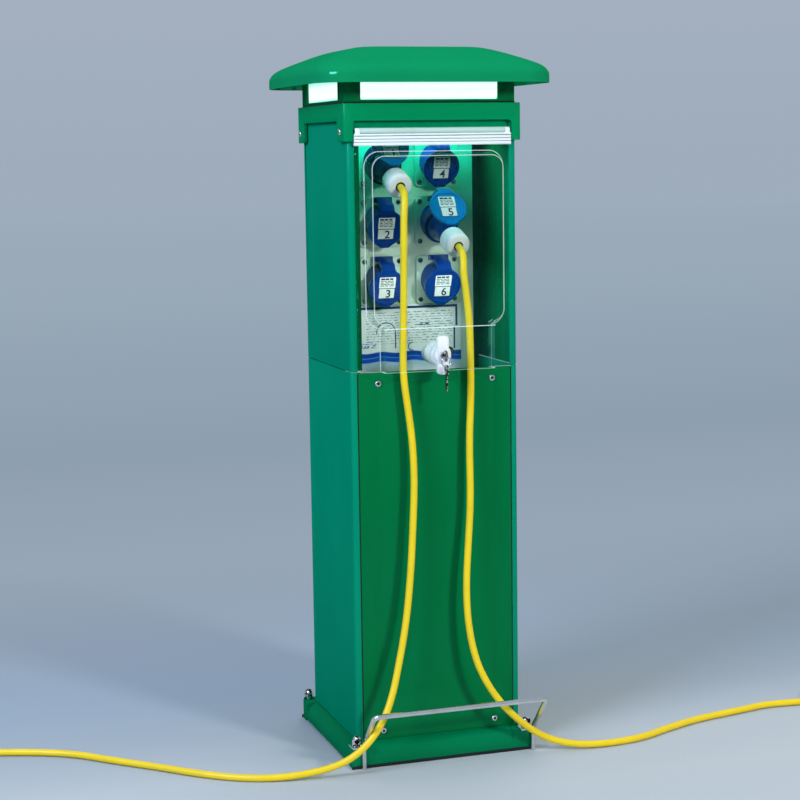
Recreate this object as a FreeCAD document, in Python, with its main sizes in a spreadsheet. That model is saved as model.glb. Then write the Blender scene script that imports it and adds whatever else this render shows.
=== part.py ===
"""Camper service bollard: a green column with six blue sockets behind a clear door."""
import FreeCAD, Part
import math
import os
import re
import Sketcher

# Driving sizes in millimetres, and turns in degrees
SIZES = {
    # Fits and gaps
    "slip": 0.2,
    "running": 0.05,
    "seam": 0.3,
    # Plinth that the column stands on
    "plinth_width": 290,
    "plinth_depth": 284,
    "plinth_corner": 11,
    "plinth_foot": 4.5,
    "foot_inset": 8,
    "foot_pad": 20,
    "pad_top": 32,
    "pad_length": 34,
    "skirt_round": 20,
    "entry_width": 150,
    "entry_depth": 130,
    "anchor_side": 10,
    "anchor_front": 7,
    "anchor_radius": 5,
    "anchor_flats": 13,
    "anchor_nut": 8,
    "washer_radius": 8,
    "washer_thick": 1.6,
    # Column
    "column_width": 260,
    "column_depth": 236,
    "column_wall": 3,
    "column_corner": 5.5,
    "column_base": 34,
    "column_joint": 588.5,
    "joint_gap": 0.8,
    "lip_width": 11,
    "rib_width": 13,
    "rib_step": 1.2,
    # Lower front panel
    "panel_proud": 1.5,
    "panel_sheet": 2.5,
    "panel_top": 586.6,
    "panel_return": 13.5,
    "panel_screw_side": 88.9,
    "panel_screw_low": 47.7,
    "panel_screw_high": 571,
    "screw_radius": 2.5,
    "screw_head": 4.8,
    "screw_rise": 2.4,
    # Collar round the top of the column
    "collar_top": 976.4,
    "collar_proud": 6.3,
    "collar_corner": 5,
    "collar_plate": 3,
    "collar_edge": 951.4,
    "collar_foot": 922,
    "collar_leg": 33.5,
    "collar_window": 243,
    "gasket_thick": 2,
    # Lamp under the hood
    "lamp_width": 265,
    "lamp_depth": 222,
    "lamp_wall": 4,
    "lamp_post": 27,
    "lamp_height": 53.6,
    "lamp_sill": 3.5,
    "lamp_mouth": 180,
    "diffuser_wall": 3,
    "tray_thick": 2,
    "tube_radius": 8,
    "tube_reach": 100,
    "tube_spread": 30,
    # Hood
    "hood_width": 364,
    "hood_depth": 340,
    "hood_drop": 27.5,
    "hood_wall": 3,
    "boss_radius": 7,
    "boss_side": 112,
    "boss_front": 92,
    "boss_height": 13.5,
    # Hinge of the clear door
    "header_low": 930,
    "hinge_front": 120.5,
    "hinge_height": 937.2,
    "knuckle_radius": 4,
    "pin_radius": 1.6,
    "leaf_width": 240.6,
    "hinge_width": 237.2,
    "leaf_low": 916.5,
    "leaf_front": 124.5,
    "leaf_thick": 5.9,
    "leaf_knuckle": 7,
    # Clear door
    "door_width": 243.2,
    "door_low": 588,
    "door_sheet": 3,
    "door_rim": 118.4,
    "door_tongue": 7.5,
    "bubble_width": 213,
    "bubble_low": 652,
    "bubble_high": 907,
    "bubble_depth": 20,
    "bubble_draft": 6,
    "bubble_corner": 22,
    "spout_width": 172,
    # Lock in the door
    "lock_height": 612,
    "lock_radius": 16.5,
    "lock_neck": 11,
    "lock_back": 106,
    "spindle_radius": 6,
    "wing_height": 56,
    "wing_width": 16.5,
    "wing_front": 158,
    "cam_reach": 34,
    "cam_thick": 3,
    "key_thick": 2,
    "key_bow": 8.5,
    "key_hole": 2.6,
    "ring_radius": 7,
    "ring_wire": 0.9,
    # Sockets
    "socket_pitch": 89,
    "socket_top_row": 890.5,
    "socket_face": 7,
    "socket_tilt": 20,
    "flange_width": 68,
    "flange_height": 73,
    "flange_thick": 5,
    "flange_corner": 7,
    "barrel_radius": 27,
    "barrel_bore": 22.5,
    "barrel_length": 21,
    "barrel_floor": 15,
    "socket_body": 26,
    "socket_back": 34,
    "core_radius": 18.25,
    "core_front": 19,
    "lid_out": 6,
    "lid_up": 34.5,
    "lid_radius": 28.5,
    "lid_thick": 5,
    "lid_tip": 31,
    "lid_arm": 21.5,
    "lid_knuckle": 3.8,
    "lid_pin": 1.5,
    "lid_rest": 53,
    # Plate that carries the sockets
    "plate_width": 208,
    "plate_low": 561,
    "plate_high": 929,
    "plate_sheet": 3,
    "plate_depth": 42,
    "floor_height": 558,
    "card_width": 166,
    "card_lift": 11,
    "card_gap": 1,
    "card_thick": 0.8,
    # Plugs
    "plug_skirt": 21.75,
    "plug_bore": 18.6,
    "plug_inner": 13,
    "plug_waist": 16.5,
    "plug_joint": 72,
    "cap_radius": 22.5,
    "plug_length": 102,
    "flute_radius": 1.5,
    "flutes": 24,
    # Cords and their coils
    "cord_radius": 5.25,
    "cord_length": 5000,
    "coil_turns": 4.45,
    "coil_pitch": 11.5,
    "coil_rise": 11.1,
    "connector_radius": 24,
    "connector_grip": 15,
    "connector_length": 112,
    # Hoop in front of the plinth
    "hoop_radius": 3.25,
    "hoop_left_inset": 17.7,
    "hoop_right_inset": 3.5,
    "hoop_stand": 3.5,
    "hoop_knee": 35.3,
    "hoop_reach": 200,
    "hoop_height": 94.5,
    "hoop_bend": 9,
    "tab_thick": 2.4,
    # Wiring inside the lower column
    "rail_height": 380,
    "rail_width": 35,
    "breaker_width": 17.5,
}

doc = FreeCAD.newDocument("bollard")
sheet = doc.addObject("Spreadsheet::Sheet", "Sizes")
for row, (alias, value) in enumerate(SIZES.items(), 1):
    sheet.set(f"A{row}", alias)
    sheet.set(f"B{row}", str(value))
    sheet.setAlias(f"B{row}", alias)
reckoning = doc.addObject("Spreadsheet::Sheet", "Reckoning")
doc.recompute()

# Heights and places that several pieces share
LAMP_TOP = "(collar_top + gasket_thick + lamp_height)"
HOOD_RIM = f"({LAMP_TOP} - hood_drop)"
HOOP_FOOT = "(-plinth_depth / 2 - hoop_stand)"

nodes = []
X_AXIS = FreeCAD.Vector(1, 0, 0)
Y_AXIS = FreeCAD.Vector(0, 1, 0)
Z_AXIS = FreeCAD.Vector(0, 0, 1)


def sized(text):
    """Point every size named in an expression at the sheet."""
    return re.sub(r"[a-z]\w+", lambda m: "Sizes." + m.group() if m.group() in SIZES else m.group(), str(text))


def number(text):
    """Work out an expression from the sheet's sizes."""
    reckoning.set("A1", "=" + sized(text))
    reckoning.recompute()
    return float(reckoning.get("A1"))


def node(part, name=None):
    """Keep a finished object as a sub-part under its own name."""
    if name:
        part.Label = name
    nodes.append(part)
    return part


def body(name):
    part = doc.addObject("PartDesign::Body", name)
    part.Label = name
    return part


def place(part, x="0", y="0", z="0", axis=None, turn="0"):
    """Bind an object's place, and its turn about an axis, to the sheet."""
    if axis:
        part.Placement = FreeCAD.Placement(FreeCAD.Vector(), FreeCAD.Rotation(axis, 90))
        part.setExpression(".Placement.Rotation.Angle", sized(turn))
    for letter, text in zip("xyz", (x, y, z)):
        part.setExpression(f".Placement.Base.{letter}", sized(text))
    return part


def primitive(part, kind, cut=False):
    """Start a primitive in a body, or a free one where there is no body."""
    if part is None:
        return doc.addObject(f"Part::{kind}", kind)
    sign = "Subtractive" if cut else "Additive"
    return part.newObject(f"PartDesign::{sign}{kind}", kind)


def block(part, xs, ys, zs, cut=False):
    """Box between two planes along each axis."""
    box = primitive(part, "Box", cut)
    for prop, (low, high) in zip(("Length", "Width", "Height"), (xs, ys, zs)):
        box.setExpression(prop, sized(f"({high}) - ({low})"))
    return place(box, xs[0], ys[0], zs[0])


def aim(part, start, along):
    """Turn a round primitive, which rises along Z, to run along another direction."""
    turns = {
        "x": (Y_AXIS, "90"),
        "y": (X_AXIS, "-90"),
        "front": (X_AXIS, "90"),
        "z": (None, "0"),
        "tilt": (X_AXIS, "90 + socket_tilt"),
    }
    axis, turn = turns[along]
    return place(part, *start, axis, turn)


def rod(part, start, along, radius, length, cut=False):
    """Cylinder from a point along a direction."""
    cylinder = primitive(part, "Cylinder", cut)
    cylinder.setExpression("Radius", sized(radius))
    cylinder.setExpression("Height", sized(length))
    return aim(cylinder, start, along)


def cone(part, start, along, first, last, length, cut=False):
    """Cone from one radius to another along a direction."""
    taper = primitive(part, "Cone", cut)
    taper.setExpression("Radius1", sized(first))
    taper.setExpression("Radius2", sized(last))
    taper.setExpression("Height", sized(length))
    return aim(taper, start, along)


def sketch(part, role, height="0"):
    """Empty sketch on one of a body's own planes, or beside it."""
    outline = part.newObject("Sketcher::SketchObject", "Outline")
    plane = [item for item in part.Origin.OriginFeatures if item.Role == role][0]
    outline.AttachmentSupport = (plane, [""])
    outline.MapMode = "FlatFace"
    outline.setExpression(".AttachmentOffset.Base.z", sized(height))
    return outline


def fix(outline, kind, geometry, point, text):
    """Hold a point of a sketch at a distance from its origin."""
    index = outline.addConstraint(Sketcher.Constraint(kind, -1, 1, geometry, point, number(text)))
    outline.setExpression(f"Constraints[{index}]", sized(text))


def polygon(outline, points):
    """Closed outline through points whose places are expressions."""
    places = [FreeCAD.Vector(number(x), number(y), 0) for x, y in points]
    count = len(points)
    for i in range(count):
        outline.addGeometry(Part.LineSegment(places[i], places[(i + 1) % count]))
    for i, (x, y) in enumerate(points):
        outline.addConstraint(Sketcher.Constraint("Coincident", i, 2, (i + 1) % count, 1))
        fix(outline, "DistanceX", i, 1, x)
        fix(outline, "DistanceY", i, 1, y)
    return outline


def rounded_rectangle(outline, half_x, half_y, corner, middle="0"):
    """Rectangle with round corners, centred on the sketch's upright axis."""
    side, rise, turn, lift = (number(text) for text in (half_x, half_y, corner, middle))
    corners = ((1, 1), (-1, 1), (-1, -1), (1, -1))
    for i, (sx, sy) in enumerate(corners):
        centre = FreeCAD.Vector(sx * (side - turn), sy * (rise - turn) + lift, 0)
        circle = Part.Circle(centre, Z_AXIS, turn)
        outline.addGeometry(Part.ArcOfCircle(circle, i * math.pi / 2, (i + 1) * math.pi / 2))
    ends = [(outline.Geometry[i].StartPoint, outline.Geometry[i].EndPoint) for i in range(4)]
    for i in range(4):
        outline.addGeometry(Part.LineSegment(ends[i][1], ends[(i + 1) % 4][0]))
    for i, (sx, sy) in enumerate(corners):
        fix(outline, "DistanceX", i, 3, f"{sx} * (({half_x}) - ({corner}))")
        fix(outline, "DistanceY", i, 3, f"({middle}) + {sy} * (({half_y}) - ({corner}))")
        index = outline.addConstraint(Sketcher.Constraint("Radius", i, turn))
        outline.setExpression(f"Constraints[{index}]", sized(corner))
    for i in range(4):
        outline.addConstraint(Sketcher.Constraint("Tangent", i, 2, 4 + i, 1))
        outline.addConstraint(Sketcher.Constraint("Tangent", 4 + i, 2, (i + 1) % 4, 1))
    return outline


def pad(part, outline, length, midplane=False, cut=False):
    """Push an outline out into a solid, or through one."""
    feature = part.newObject("PartDesign::Pocket" if cut else "PartDesign::Pad", "Push")
    feature.Profile = outline
    feature.setExpression("Length", sized(length))
    feature.Midplane = midplane
    return feature


def revolve(part, points, name="Turned"):
    """Turn an outline of radius and height about the body's Z axis."""
    outline = polygon(sketch(part, "XZ_Plane"), points)
    feature = part.newObject("PartDesign::Revolution", name)
    feature.Profile = outline
    feature.ReferenceAxis = (outline, ["V_Axis"])
    feature.Angle = 360
    return feature


def loft(part, outlines, cut=False, ruled=False):
    feature = part.newObject("PartDesign::SubtractiveLoft" if cut else "PartDesign::AdditiveLoft", "Loft")
    feature.Profile = outlines[0]
    feature.Sections = outlines[1:]
    feature.Ruled = ruled
    return feature


def edges(shape, axis, test):
    """Names of a shape's straight edges along an axis whose middle passes a test."""
    found = []
    for i, edge in enumerate(shape.Edges, 1):
        if edge.Curve.TypeId != "Part::GeomLine":
            continue
        run = edge.Vertexes[-1].Point - edge.Vertexes[0].Point
        if abs(abs(run.dot(axis)) - run.Length) < 1e-6 and test(edge.CenterOfMass):
            found.append(f"Edge{i}")
    return found


def dress(part, radius, axis, test, kind="Fillet"):
    """Round or bevel the edges along an axis whose middle passes a test."""
    doc.recompute()
    base = part.Tip
    names = edges(base.Shape, axis, test)
    feature = part.newObject(f"PartDesign::{kind}", kind)
    feature.Base = (base, names)
    feature.setExpression("Radius" if kind == "Fillet" else "Size", sized(radius))
    return feature


def group(name, parts):
    """Several separate solids under one name."""
    compound = doc.addObject("Part::Compound", name)
    compound.Links = parts
    return node(compound, name)


def fuse(parts):
    union = doc.addObject("Part::MultiFuse", "Union")
    union.Shapes = parts
    return union


def near(value, target):
    return abs(value - target) < 0.01


def plinth():
    """Cast plinth: four flat pads, cushioned skirts between them and a foot underneath."""
    part = body("base_plinth")
    half_x, half_y = number("plinth_width / 2"), number("plinth_depth / 2")
    top = number("pad_top")
    long_x = ("-plinth_width / 2", "plinth_width / 2")
    long_y = ("-plinth_depth / 2", "plinth_depth / 2")
    rise = ("plinth_foot", "pad_top")
    feet = []
    block(part, ("-plinth_width / 2 + pad_length", "plinth_width / 2 - pad_length"), long_y, rise)
    dress(part, "skirt_round", X_AXIS, lambda c: near(abs(c.y), half_y) and near(c.z, top))
    block(part, long_x, ("-plinth_depth / 2 + pad_length", "plinth_depth / 2 - pad_length"), rise)
    dress(part, "skirt_round", Y_AXIS, lambda c: near(abs(c.x), half_x) and near(c.z, top))
    for sx in (-1, 1):
        for sy in (-1, 1):
            xs = sorted((f"{sx} * plinth_width / 2", f"{sx} * (plinth_width / 2 - pad_length)"), key=number)
            ys = sorted((f"{sy} * plinth_depth / 2", f"{sy} * (plinth_depth / 2 - pad_length)"), key=number)
            block(part, xs, ys, rise)
            x_out, y_out = f"{sx} * (plinth_width / 2 - 1)", f"{sy} * (plinth_depth / 2 - 1)"
            xs = sorted((x_out, f"{sx} * (plinth_width / 2 - 1 - foot_pad)"), key=number)
            ys = sorted((y_out, f"{sy} * (plinth_depth / 2 - 1 - foot_pad)"), key=number)
            feet.append((xs, ys))
    dress(part, "plinth_corner", Z_AXIS, lambda c: near(abs(c.x), half_x) and near(abs(c.y), half_y))
    block(part, ("-column_width / 2", "column_width / 2"), ("-column_depth / 2", "column_depth / 2"),
          ("pad_top - 1", "column_base"))
    block(part, ("-plinth_width / 2 + foot_inset", "plinth_width / 2 - foot_inset"),
          ("-plinth_depth / 2 + foot_inset", "plinth_depth / 2 - foot_inset"), ("0", "plinth_foot + 1"))
    for xs, ys in feet:
        block(part, xs, ys, ("0", "plinth_foot + 1"))
    block(part, ("-entry_width / 2", "entry_width / 2"), ("-entry_depth / 2", "entry_depth / 2"),
          ("-1", "column_base + 1"), cut=True)
    for sx in (-1, 1):
        for sy in (-1, 1):
            rod(part, (*anchor_place(sx, sy), "-1"), "z", "anchor_radius", "column_base + 2", cut=True)
    node(part)


def anchor_place(sx, sy):
    """Centre of the anchor bolt in one corner of the plinth."""
    return f"{sx} * (plinth_width / 2 - anchor_side)", f"{sy} * (plinth_depth / 2 - anchor_front)"


def anchor_nuts():
    """Domed nuts on washers. Those in front stand on the hoop's tabs."""
    parts = []
    for sx in (-1, 1):
        for sy in (-1, 1):
            x, y = anchor_place(sx, sy)
            seat = "pad_top + tab_thick" if sy < 0 else "pad_top"
            parts.append(rod(None, (x, y, seat), "z", "washer_radius", "washer_thick"))
            hexagon = doc.addObject("Part::Prism", "Hexagon")
            hexagon.Polygon = 6
            hexagon.setExpression("Circumradius", sized("anchor_flats / 2 / cos(30)"))
            hexagon.setExpression("Height", sized("anchor_nut"))
            place(hexagon, x, y, f"{seat} + washer_thick")
            dome = doc.addObject("Part::Sphere", "Dome")
            dome.setExpression("Radius", sized("anchor_flats / 2 - 0.4"))
            dome.Angle1 = 0
            place(dome, x, y, f"{seat} + washer_thick + anchor_nut")
            parts.append(fuse([hexagon, dome]))
    group("anchor_nuts", parts)


def side_panel(name, side, low, high):
    """Folded side of the column: a rib along each corner and a lip turned in at front and back."""
    part = body(name)
    outer = f"{side} * column_width / 2"
    middle = f"{side} * (column_width / 2 - rib_step)"
    inner = f"{side} * (column_width / 2 - column_wall)"
    lip = f"{side} * (column_width / 2 - lip_width)"
    front, back = "-column_depth / 2", "column_depth / 2"
    points = [
        (lip, front), (outer, front), (outer, f"{front} + rib_width"),
        (middle, f"{front} + rib_width + rib_step"), (middle, f"{back} - rib_width - rib_step"),
        (outer, f"{back} - rib_width"), (outer, back), (lip, back), (lip, f"{back} - column_wall"),
        (inner, f"{back} - column_wall"), (inner, f"{front} + column_wall"), (lip, f"{front} + column_wall"),
    ]
    pad(part, polygon(sketch(part, "XY_Plane", low), points), f"({high}) - ({low})")
    half_x, half_y = number("column_width / 2"), number("column_depth / 2")
    dress(part, "column_corner", Z_AXIS, lambda c: near(abs(c.x), half_x) and near(abs(c.y), half_y))
    for screw_side, y, z in collar_screw_places():
        if screw_side == side and number(low) < number(z) < number(high):
            start = f"{side} * (column_width / 2 + 1)"
            side_hole(part, side, (start, y, z), "column_wall + 2")
    node(part)


def side_hole(part, side, start, depth):
    """Screw hole that goes in from the left or the right."""
    hole = rod(part, start, "x", "screw_radius + running", depth, cut=True)
    hole.setExpression(".Placement.Rotation.Angle", f"{-side} * 90")


def column():
    """Two storeys of side panels and rear sheets, and the header that carries the door."""
    storeys = (
        ("lower", "column_base", "column_joint - joint_gap / 2"),
        ("upper", "column_joint + joint_gap / 2", "collar_top - collar_plate"),
    )
    for storey, low, high in storeys:
        side_panel(f"column_{storey}_left", -1, low, high)
        side_panel(f"column_{storey}_right", 1, low, high)
        part = body(f"column_{storey}_rear")
        block(part, ("-column_width / 2 + column_wall", "column_width / 2 - column_wall"),
              ("column_depth / 2 - 2 * column_wall", "column_depth / 2 - column_wall"), (low, high))
        node(part)
    header = body("column_header")
    wide = ("-column_width / 2 + column_wall", "column_width / 2 - column_wall")
    back = "-column_depth / 2 + 2 * column_wall"
    block(header, wide, ("-column_depth / 2 + column_wall", back),
          ("header_low", "collar_top - collar_plate"))
    block(header, wide, (back, f"{back} + 20"), ("header_low", "header_low + column_wall"))
    node(header)


def front_panel():
    """Lower front panel with folded edges, and a deep fold along the top that the cam catches behind."""
    part = body("front_panel")
    half = "column_width / 2 - lip_width - seam"
    face = "-(column_depth / 2 + panel_proud)"
    low = "column_base + seam"
    block(part, (f"-({half})", half), (face, f"{face} + panel_sheet"), (low, "panel_top"))
    block(part, (f"-({half})", half), (face, f"{face} + panel_return"),
          ("panel_top - panel_sheet", "panel_top"))
    for xs in ((f"-({half})", f"-({half}) + panel_sheet"), (f"{half} - panel_sheet", half)):
        block(part, xs, (face, f"{face} + panel_return / 2"), (low, "panel_top"))
    dress(part, "panel_sheet / 2", Z_AXIS, lambda c: near(c.y, number(face)))
    for x, z in panel_screw_places():
        rod(part, (x, f"{face} - 1", z), "y", "screw_radius + running", "panel_sheet + 2", cut=True)
    node(part)


def panel_screw_places():
    heights = ("panel_screw_low", "panel_screw_high")
    return [(f"{side} * panel_screw_side", z) for side in (-1, 1) for z in heights]


def collar_screw_places():
    """Screws through the middle of each leg of the collar."""
    reach = "(column_depth / 2 + collar_proud - collar_leg / 2)"
    return [(side, f"{end} * {reach}", "collar_foot + 14") for side in (-1, 1) for end in (-1, 1)]


def panel_screws():
    """Button heads and shanks of the lower panel and of the collar."""
    parts = []
    face = "-(column_depth / 2 + panel_proud)"
    for x, z in panel_screw_places():
        head = cone(None, (x, face, z), "front", "screw_head", "screw_head * 0.55", "screw_rise")
        shank = rod(None, (x, face, z), "y", "screw_radius", "panel_sheet + 6")
        parts.append(fuse([head, shank]))
    for side, y, z in collar_screw_places():
        x = f"{side} * (column_width / 2 + collar_proud)"
        head = cone(None, (x, y, z), "x", "screw_head", "screw_head * 0.55", "screw_rise")
        head.setExpression(".Placement.Rotation.Angle", f"{side} * 90")
        shank = rod(None, (x, y, z), "x", "screw_radius", "collar_proud + column_wall")
        shank.setExpression(".Placement.Rotation.Angle", f"{-side} * 90")
        parts.append(fuse([head, shank]))
    group("panel_screws", parts)


def collar():
    """Cast collar that caps the column, with a leg down each side of each corner."""
    part = body("collar")
    out_x, out_y = "column_width / 2 + collar_proud", "column_depth / 2 + collar_proud"
    half_x, half_y = number(out_x), number(out_y)
    low, edge = number("collar_foot"), number("collar_edge")
    block(part, (f"-({out_x})", out_x), (f"-({out_y})", out_y), ("collar_foot", "collar_top"))
    dress(part, "collar_corner", Z_AXIS, lambda c: near(abs(c.x), half_x))
    block(part, ("-column_width / 2 - slip", "column_width / 2 + slip"),
          ("-column_depth / 2 - slip", "column_depth / 2 + slip"),
          ("collar_foot - 1", "collar_top - collar_plate"), cut=True)
    block(part, ("-lamp_mouth / 2", "lamp_mouth / 2"), ("-lamp_mouth / 2", "lamp_mouth / 2"),
          ("collar_foot", "collar_top + 1"), cut=True)
    block(part, ("-collar_window / 2", "collar_window / 2"), (f"-({out_y}) - 1", f"{out_y} + 1"),
          ("collar_foot - 1", "collar_edge"), cut=True)
    side = f"({out_y} - collar_leg)"
    block(part, (f"-({out_x}) - 1", f"{out_x} + 1"), (f"-{side}", side),
          ("collar_foot - 1", "collar_edge"), cut=True)
    dress(part, "collar_corner", Y_AXIS, lambda c: near(c.z, edge) and abs(c.y) > half_y - 6)
    dress(part, "collar_corner", X_AXIS, lambda c: near(c.z, edge) and abs(c.x) > half_x - 6)
    dress(part, "collar_corner", X_AXIS, lambda c: near(c.z, low) and abs(c.y) < half_y - 30)
    for screw_side, y, z in collar_screw_places():
        side_hole(part, screw_side, (f"{screw_side} * ({out_x} + 1)", y, z), "collar_proud + 2")
    node(part)
    gasket = body("collar_gasket")
    block(gasket, ("-lamp_width / 2 + 1", "lamp_width / 2 - 1"), ("-lamp_depth / 2 - 1", "lamp_depth / 2 + 1"),
          ("collar_top", "collar_top + gasket_thick"))
    block(gasket, ("-lamp_mouth / 2", "lamp_mouth / 2"), ("-lamp_mouth / 2", "lamp_mouth / 2"),
          ("collar_top - 1", "collar_top + gasket_thick + 1"), cut=True)
    node(gasket)


def lamp():
    """Lantern on the collar: four posts, a white ring diffuser, and tubes hung under a tray."""
    low = "collar_top + gasket_thick"
    frame = body("lamp_frame")
    half_x, half_y = "lamp_width / 2", "lamp_depth / 2"
    block(frame, (f"-{half_x}", half_x), (f"-{half_y}", half_y), (low, LAMP_TOP))
    dress(frame, "lamp_wall", Z_AXIS, lambda c: near(abs(c.x), number(half_x)))
    block(frame, (f"-{half_x} + lamp_wall", f"{half_x} - lamp_wall"),
          (f"-{half_y} + lamp_wall", f"{half_y} - lamp_wall"),
          (f"{low} + lamp_sill", f"{LAMP_TOP} + 1"), cut=True)
    block(frame, ("-lamp_mouth / 2", "lamp_mouth / 2"), ("-lamp_mouth / 2", "lamp_mouth / 2"),
          ("collar_top", LAMP_TOP), cut=True)
    window = (f"{low} + lamp_sill", f"{LAMP_TOP} - lamp_sill")
    block(frame, (f"-{half_x} + lamp_post", f"{half_x} - lamp_post"), (f"-{half_y} - 1", f"{half_y} + 1"),
          window, cut=True)
    block(frame, (f"-{half_x} - 1", f"{half_x} + 1"), (f"-{half_y} + lamp_post", f"{half_y} - lamp_post"),
          window, cut=True)
    node(frame)
    diffuser = body("lamp_diffuser")
    for inset, floor, roof, cut in (
        ("lamp_wall + slip", f"{low} + lamp_sill", f"{LAMP_TOP} - slip", False),
        ("lamp_wall + slip + diffuser_wall", f"{low} + lamp_sill - 1", f"{LAMP_TOP} + 1", True),
    ):
        block(diffuser, (f"-{half_x} + {inset}", f"{half_x} - ({inset})"),
              (f"-{half_y} + {inset}", f"{half_y} - ({inset})"), (floor, roof), cut)
    node(diffuser)
    tray = body("lamp_tray")
    block(tray, (f"-{half_x} + 2", f"{half_x} - 2"), (f"-{half_y} + 2", f"{half_y} - 2"),
          (LAMP_TOP, f"{LAMP_TOP} + tray_thick"))
    axis = f"({LAMP_TOP} - 30)"
    for xs in (("-tube_reach - 8", "-tube_reach"), ("tube_reach", "tube_reach + 8")):
        block(tray, xs, ("-tube_spread - 12", "tube_spread + 12"), (f"{axis} - 11", LAMP_TOP))
    node(tray)
    tubes = [rod(None, ("-tube_reach", f"{side} * tube_spread", axis), "x", "tube_radius", "2 * tube_reach")
             for side in (-1, 1)]
    group("lamp_tubes", tubes)


# Hood sections from the rim up: drawn in from the rim, height over it and plan corner
HOOD_SECTIONS = ((0, 14, 60), (4, 21, 58), (12, 27.5, 52), (40, 37, 34), (70, 46, 17), (95, 54, 8), (98, 55, 7))


def hood():
    """Hipped hood with soft corners, hollow underneath, with four bosses down to the tray."""
    part = body("hood")
    half_x, half_y = "hood_width / 2", "hood_depth / 2"

    def section(inset, height, corner, wall="0"):
        outline = sketch(part, "XY_Plane", f"{HOOD_RIM} + {height} - ({wall})")
        return rounded_rectangle(outline, f"{half_x} - {inset} - ({wall})",
                                 f"{half_y} - {inset} - ({wall})", f"{corner}")

    pad(part, section(0, 0, 60), "14")
    loft(part, [section(*row) for row in HOOD_SECTIONS])
    skin = sketch(part, "XY_Plane", f"{HOOD_RIM} - 1")
    rounded_rectangle(skin, f"{half_x} - hood_wall", f"{half_y} - hood_wall", "60 - hood_wall")
    hollow = pad(part, skin, "12", cut=True)
    hollow.Reversed = True
    inner = [section(inset, height, max(corner - 3, 5), "hood_wall")
             for inset, height, corner in HOOD_SECTIONS]
    loft(part, inner[:-1], cut=True)
    for sx in (-1, 1):
        for sy in (-1, 1):
            rod(part, (f"{sx} * boss_side", f"{sy} * boss_front", f"{LAMP_TOP} + tray_thick"), "z",
                "boss_radius", "boss_height")
    node(part)


def door_hinge():
    """Hinge along the door's top: a fixed rail, a leaf that swings and the pin through both."""
    axis_y, axis_z = "-hinge_front", "hinge_height"
    inner = "hinge_width / 2 - leaf_knuckle - seam"
    fixed = body("hinge_rail_fixed")
    block(fixed, (f"-({inner})", inner), (axis_y, "-column_depth / 2 + column_wall"),
          (f"{axis_z} - knuckle_radius + 0.4", f"{axis_z} + knuckle_radius - 0.2"))
    rod(fixed, (f"-({inner})", axis_y, axis_z), "x", "knuckle_radius", f"2 * ({inner})")
    rod(fixed, ("-leaf_width", axis_y, axis_z), "x", "pin_radius + running", "2 * leaf_width", cut=True)
    block(fixed, ("-28.4", "-27.6"), (f"{axis_y} - 10", f"{axis_y} - knuckle_radius + 0.9"),
          ("header_low", "header_low + 20"), cut=True)
    node(fixed)
    pin = body("hinge_pin")
    rod(pin, ("-hinge_width / 2", axis_y, axis_z), "x", "pin_radius", "hinge_width")
    node(pin)
    leaf = body("hinge_rail_moving")
    top = f"{axis_z} - knuckle_radius - seam"
    face = "-leaf_front"
    block(leaf, ("-leaf_width / 2", "leaf_width / 2"), (face, f"{face} + leaf_thick"), ("leaf_low", top))
    for start in ("-hinge_width / 2", "hinge_width / 2 - leaf_knuckle"):
        rod(leaf, (start, axis_y, axis_z), "x", "knuckle_radius", "leaf_knuckle")
        block(leaf, (start, f"{start} + leaf_knuckle"), (f"{axis_y} - knuckle_radius", f"{axis_y} + 2"),
              (f"{top} - 1", axis_z))
    rod(leaf, ("-leaf_width", axis_y, axis_z), "x", "pin_radius + running", "2 * leaf_width", cut=True)
    slot = "-leaf_front + door_sheet / 2"
    block(leaf, ("-leaf_width", "leaf_width"), (f"{slot} - slip / 2", f"{slot} + door_sheet * 0.8 + slip / 2"),
          ("leaf_low - 1", "leaf_low + door_tongue + slip"), cut=True)
    for rise in (3.4, 8, 12.6):
        block(leaf, ("-leaf_width", "leaf_width"), (f"{face} - 1", f"{face} + 0.5"),
              (f"leaf_low + {rise}", f"leaf_low + {rise} + 1.2"), cut=True)
    node(leaf)


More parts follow.
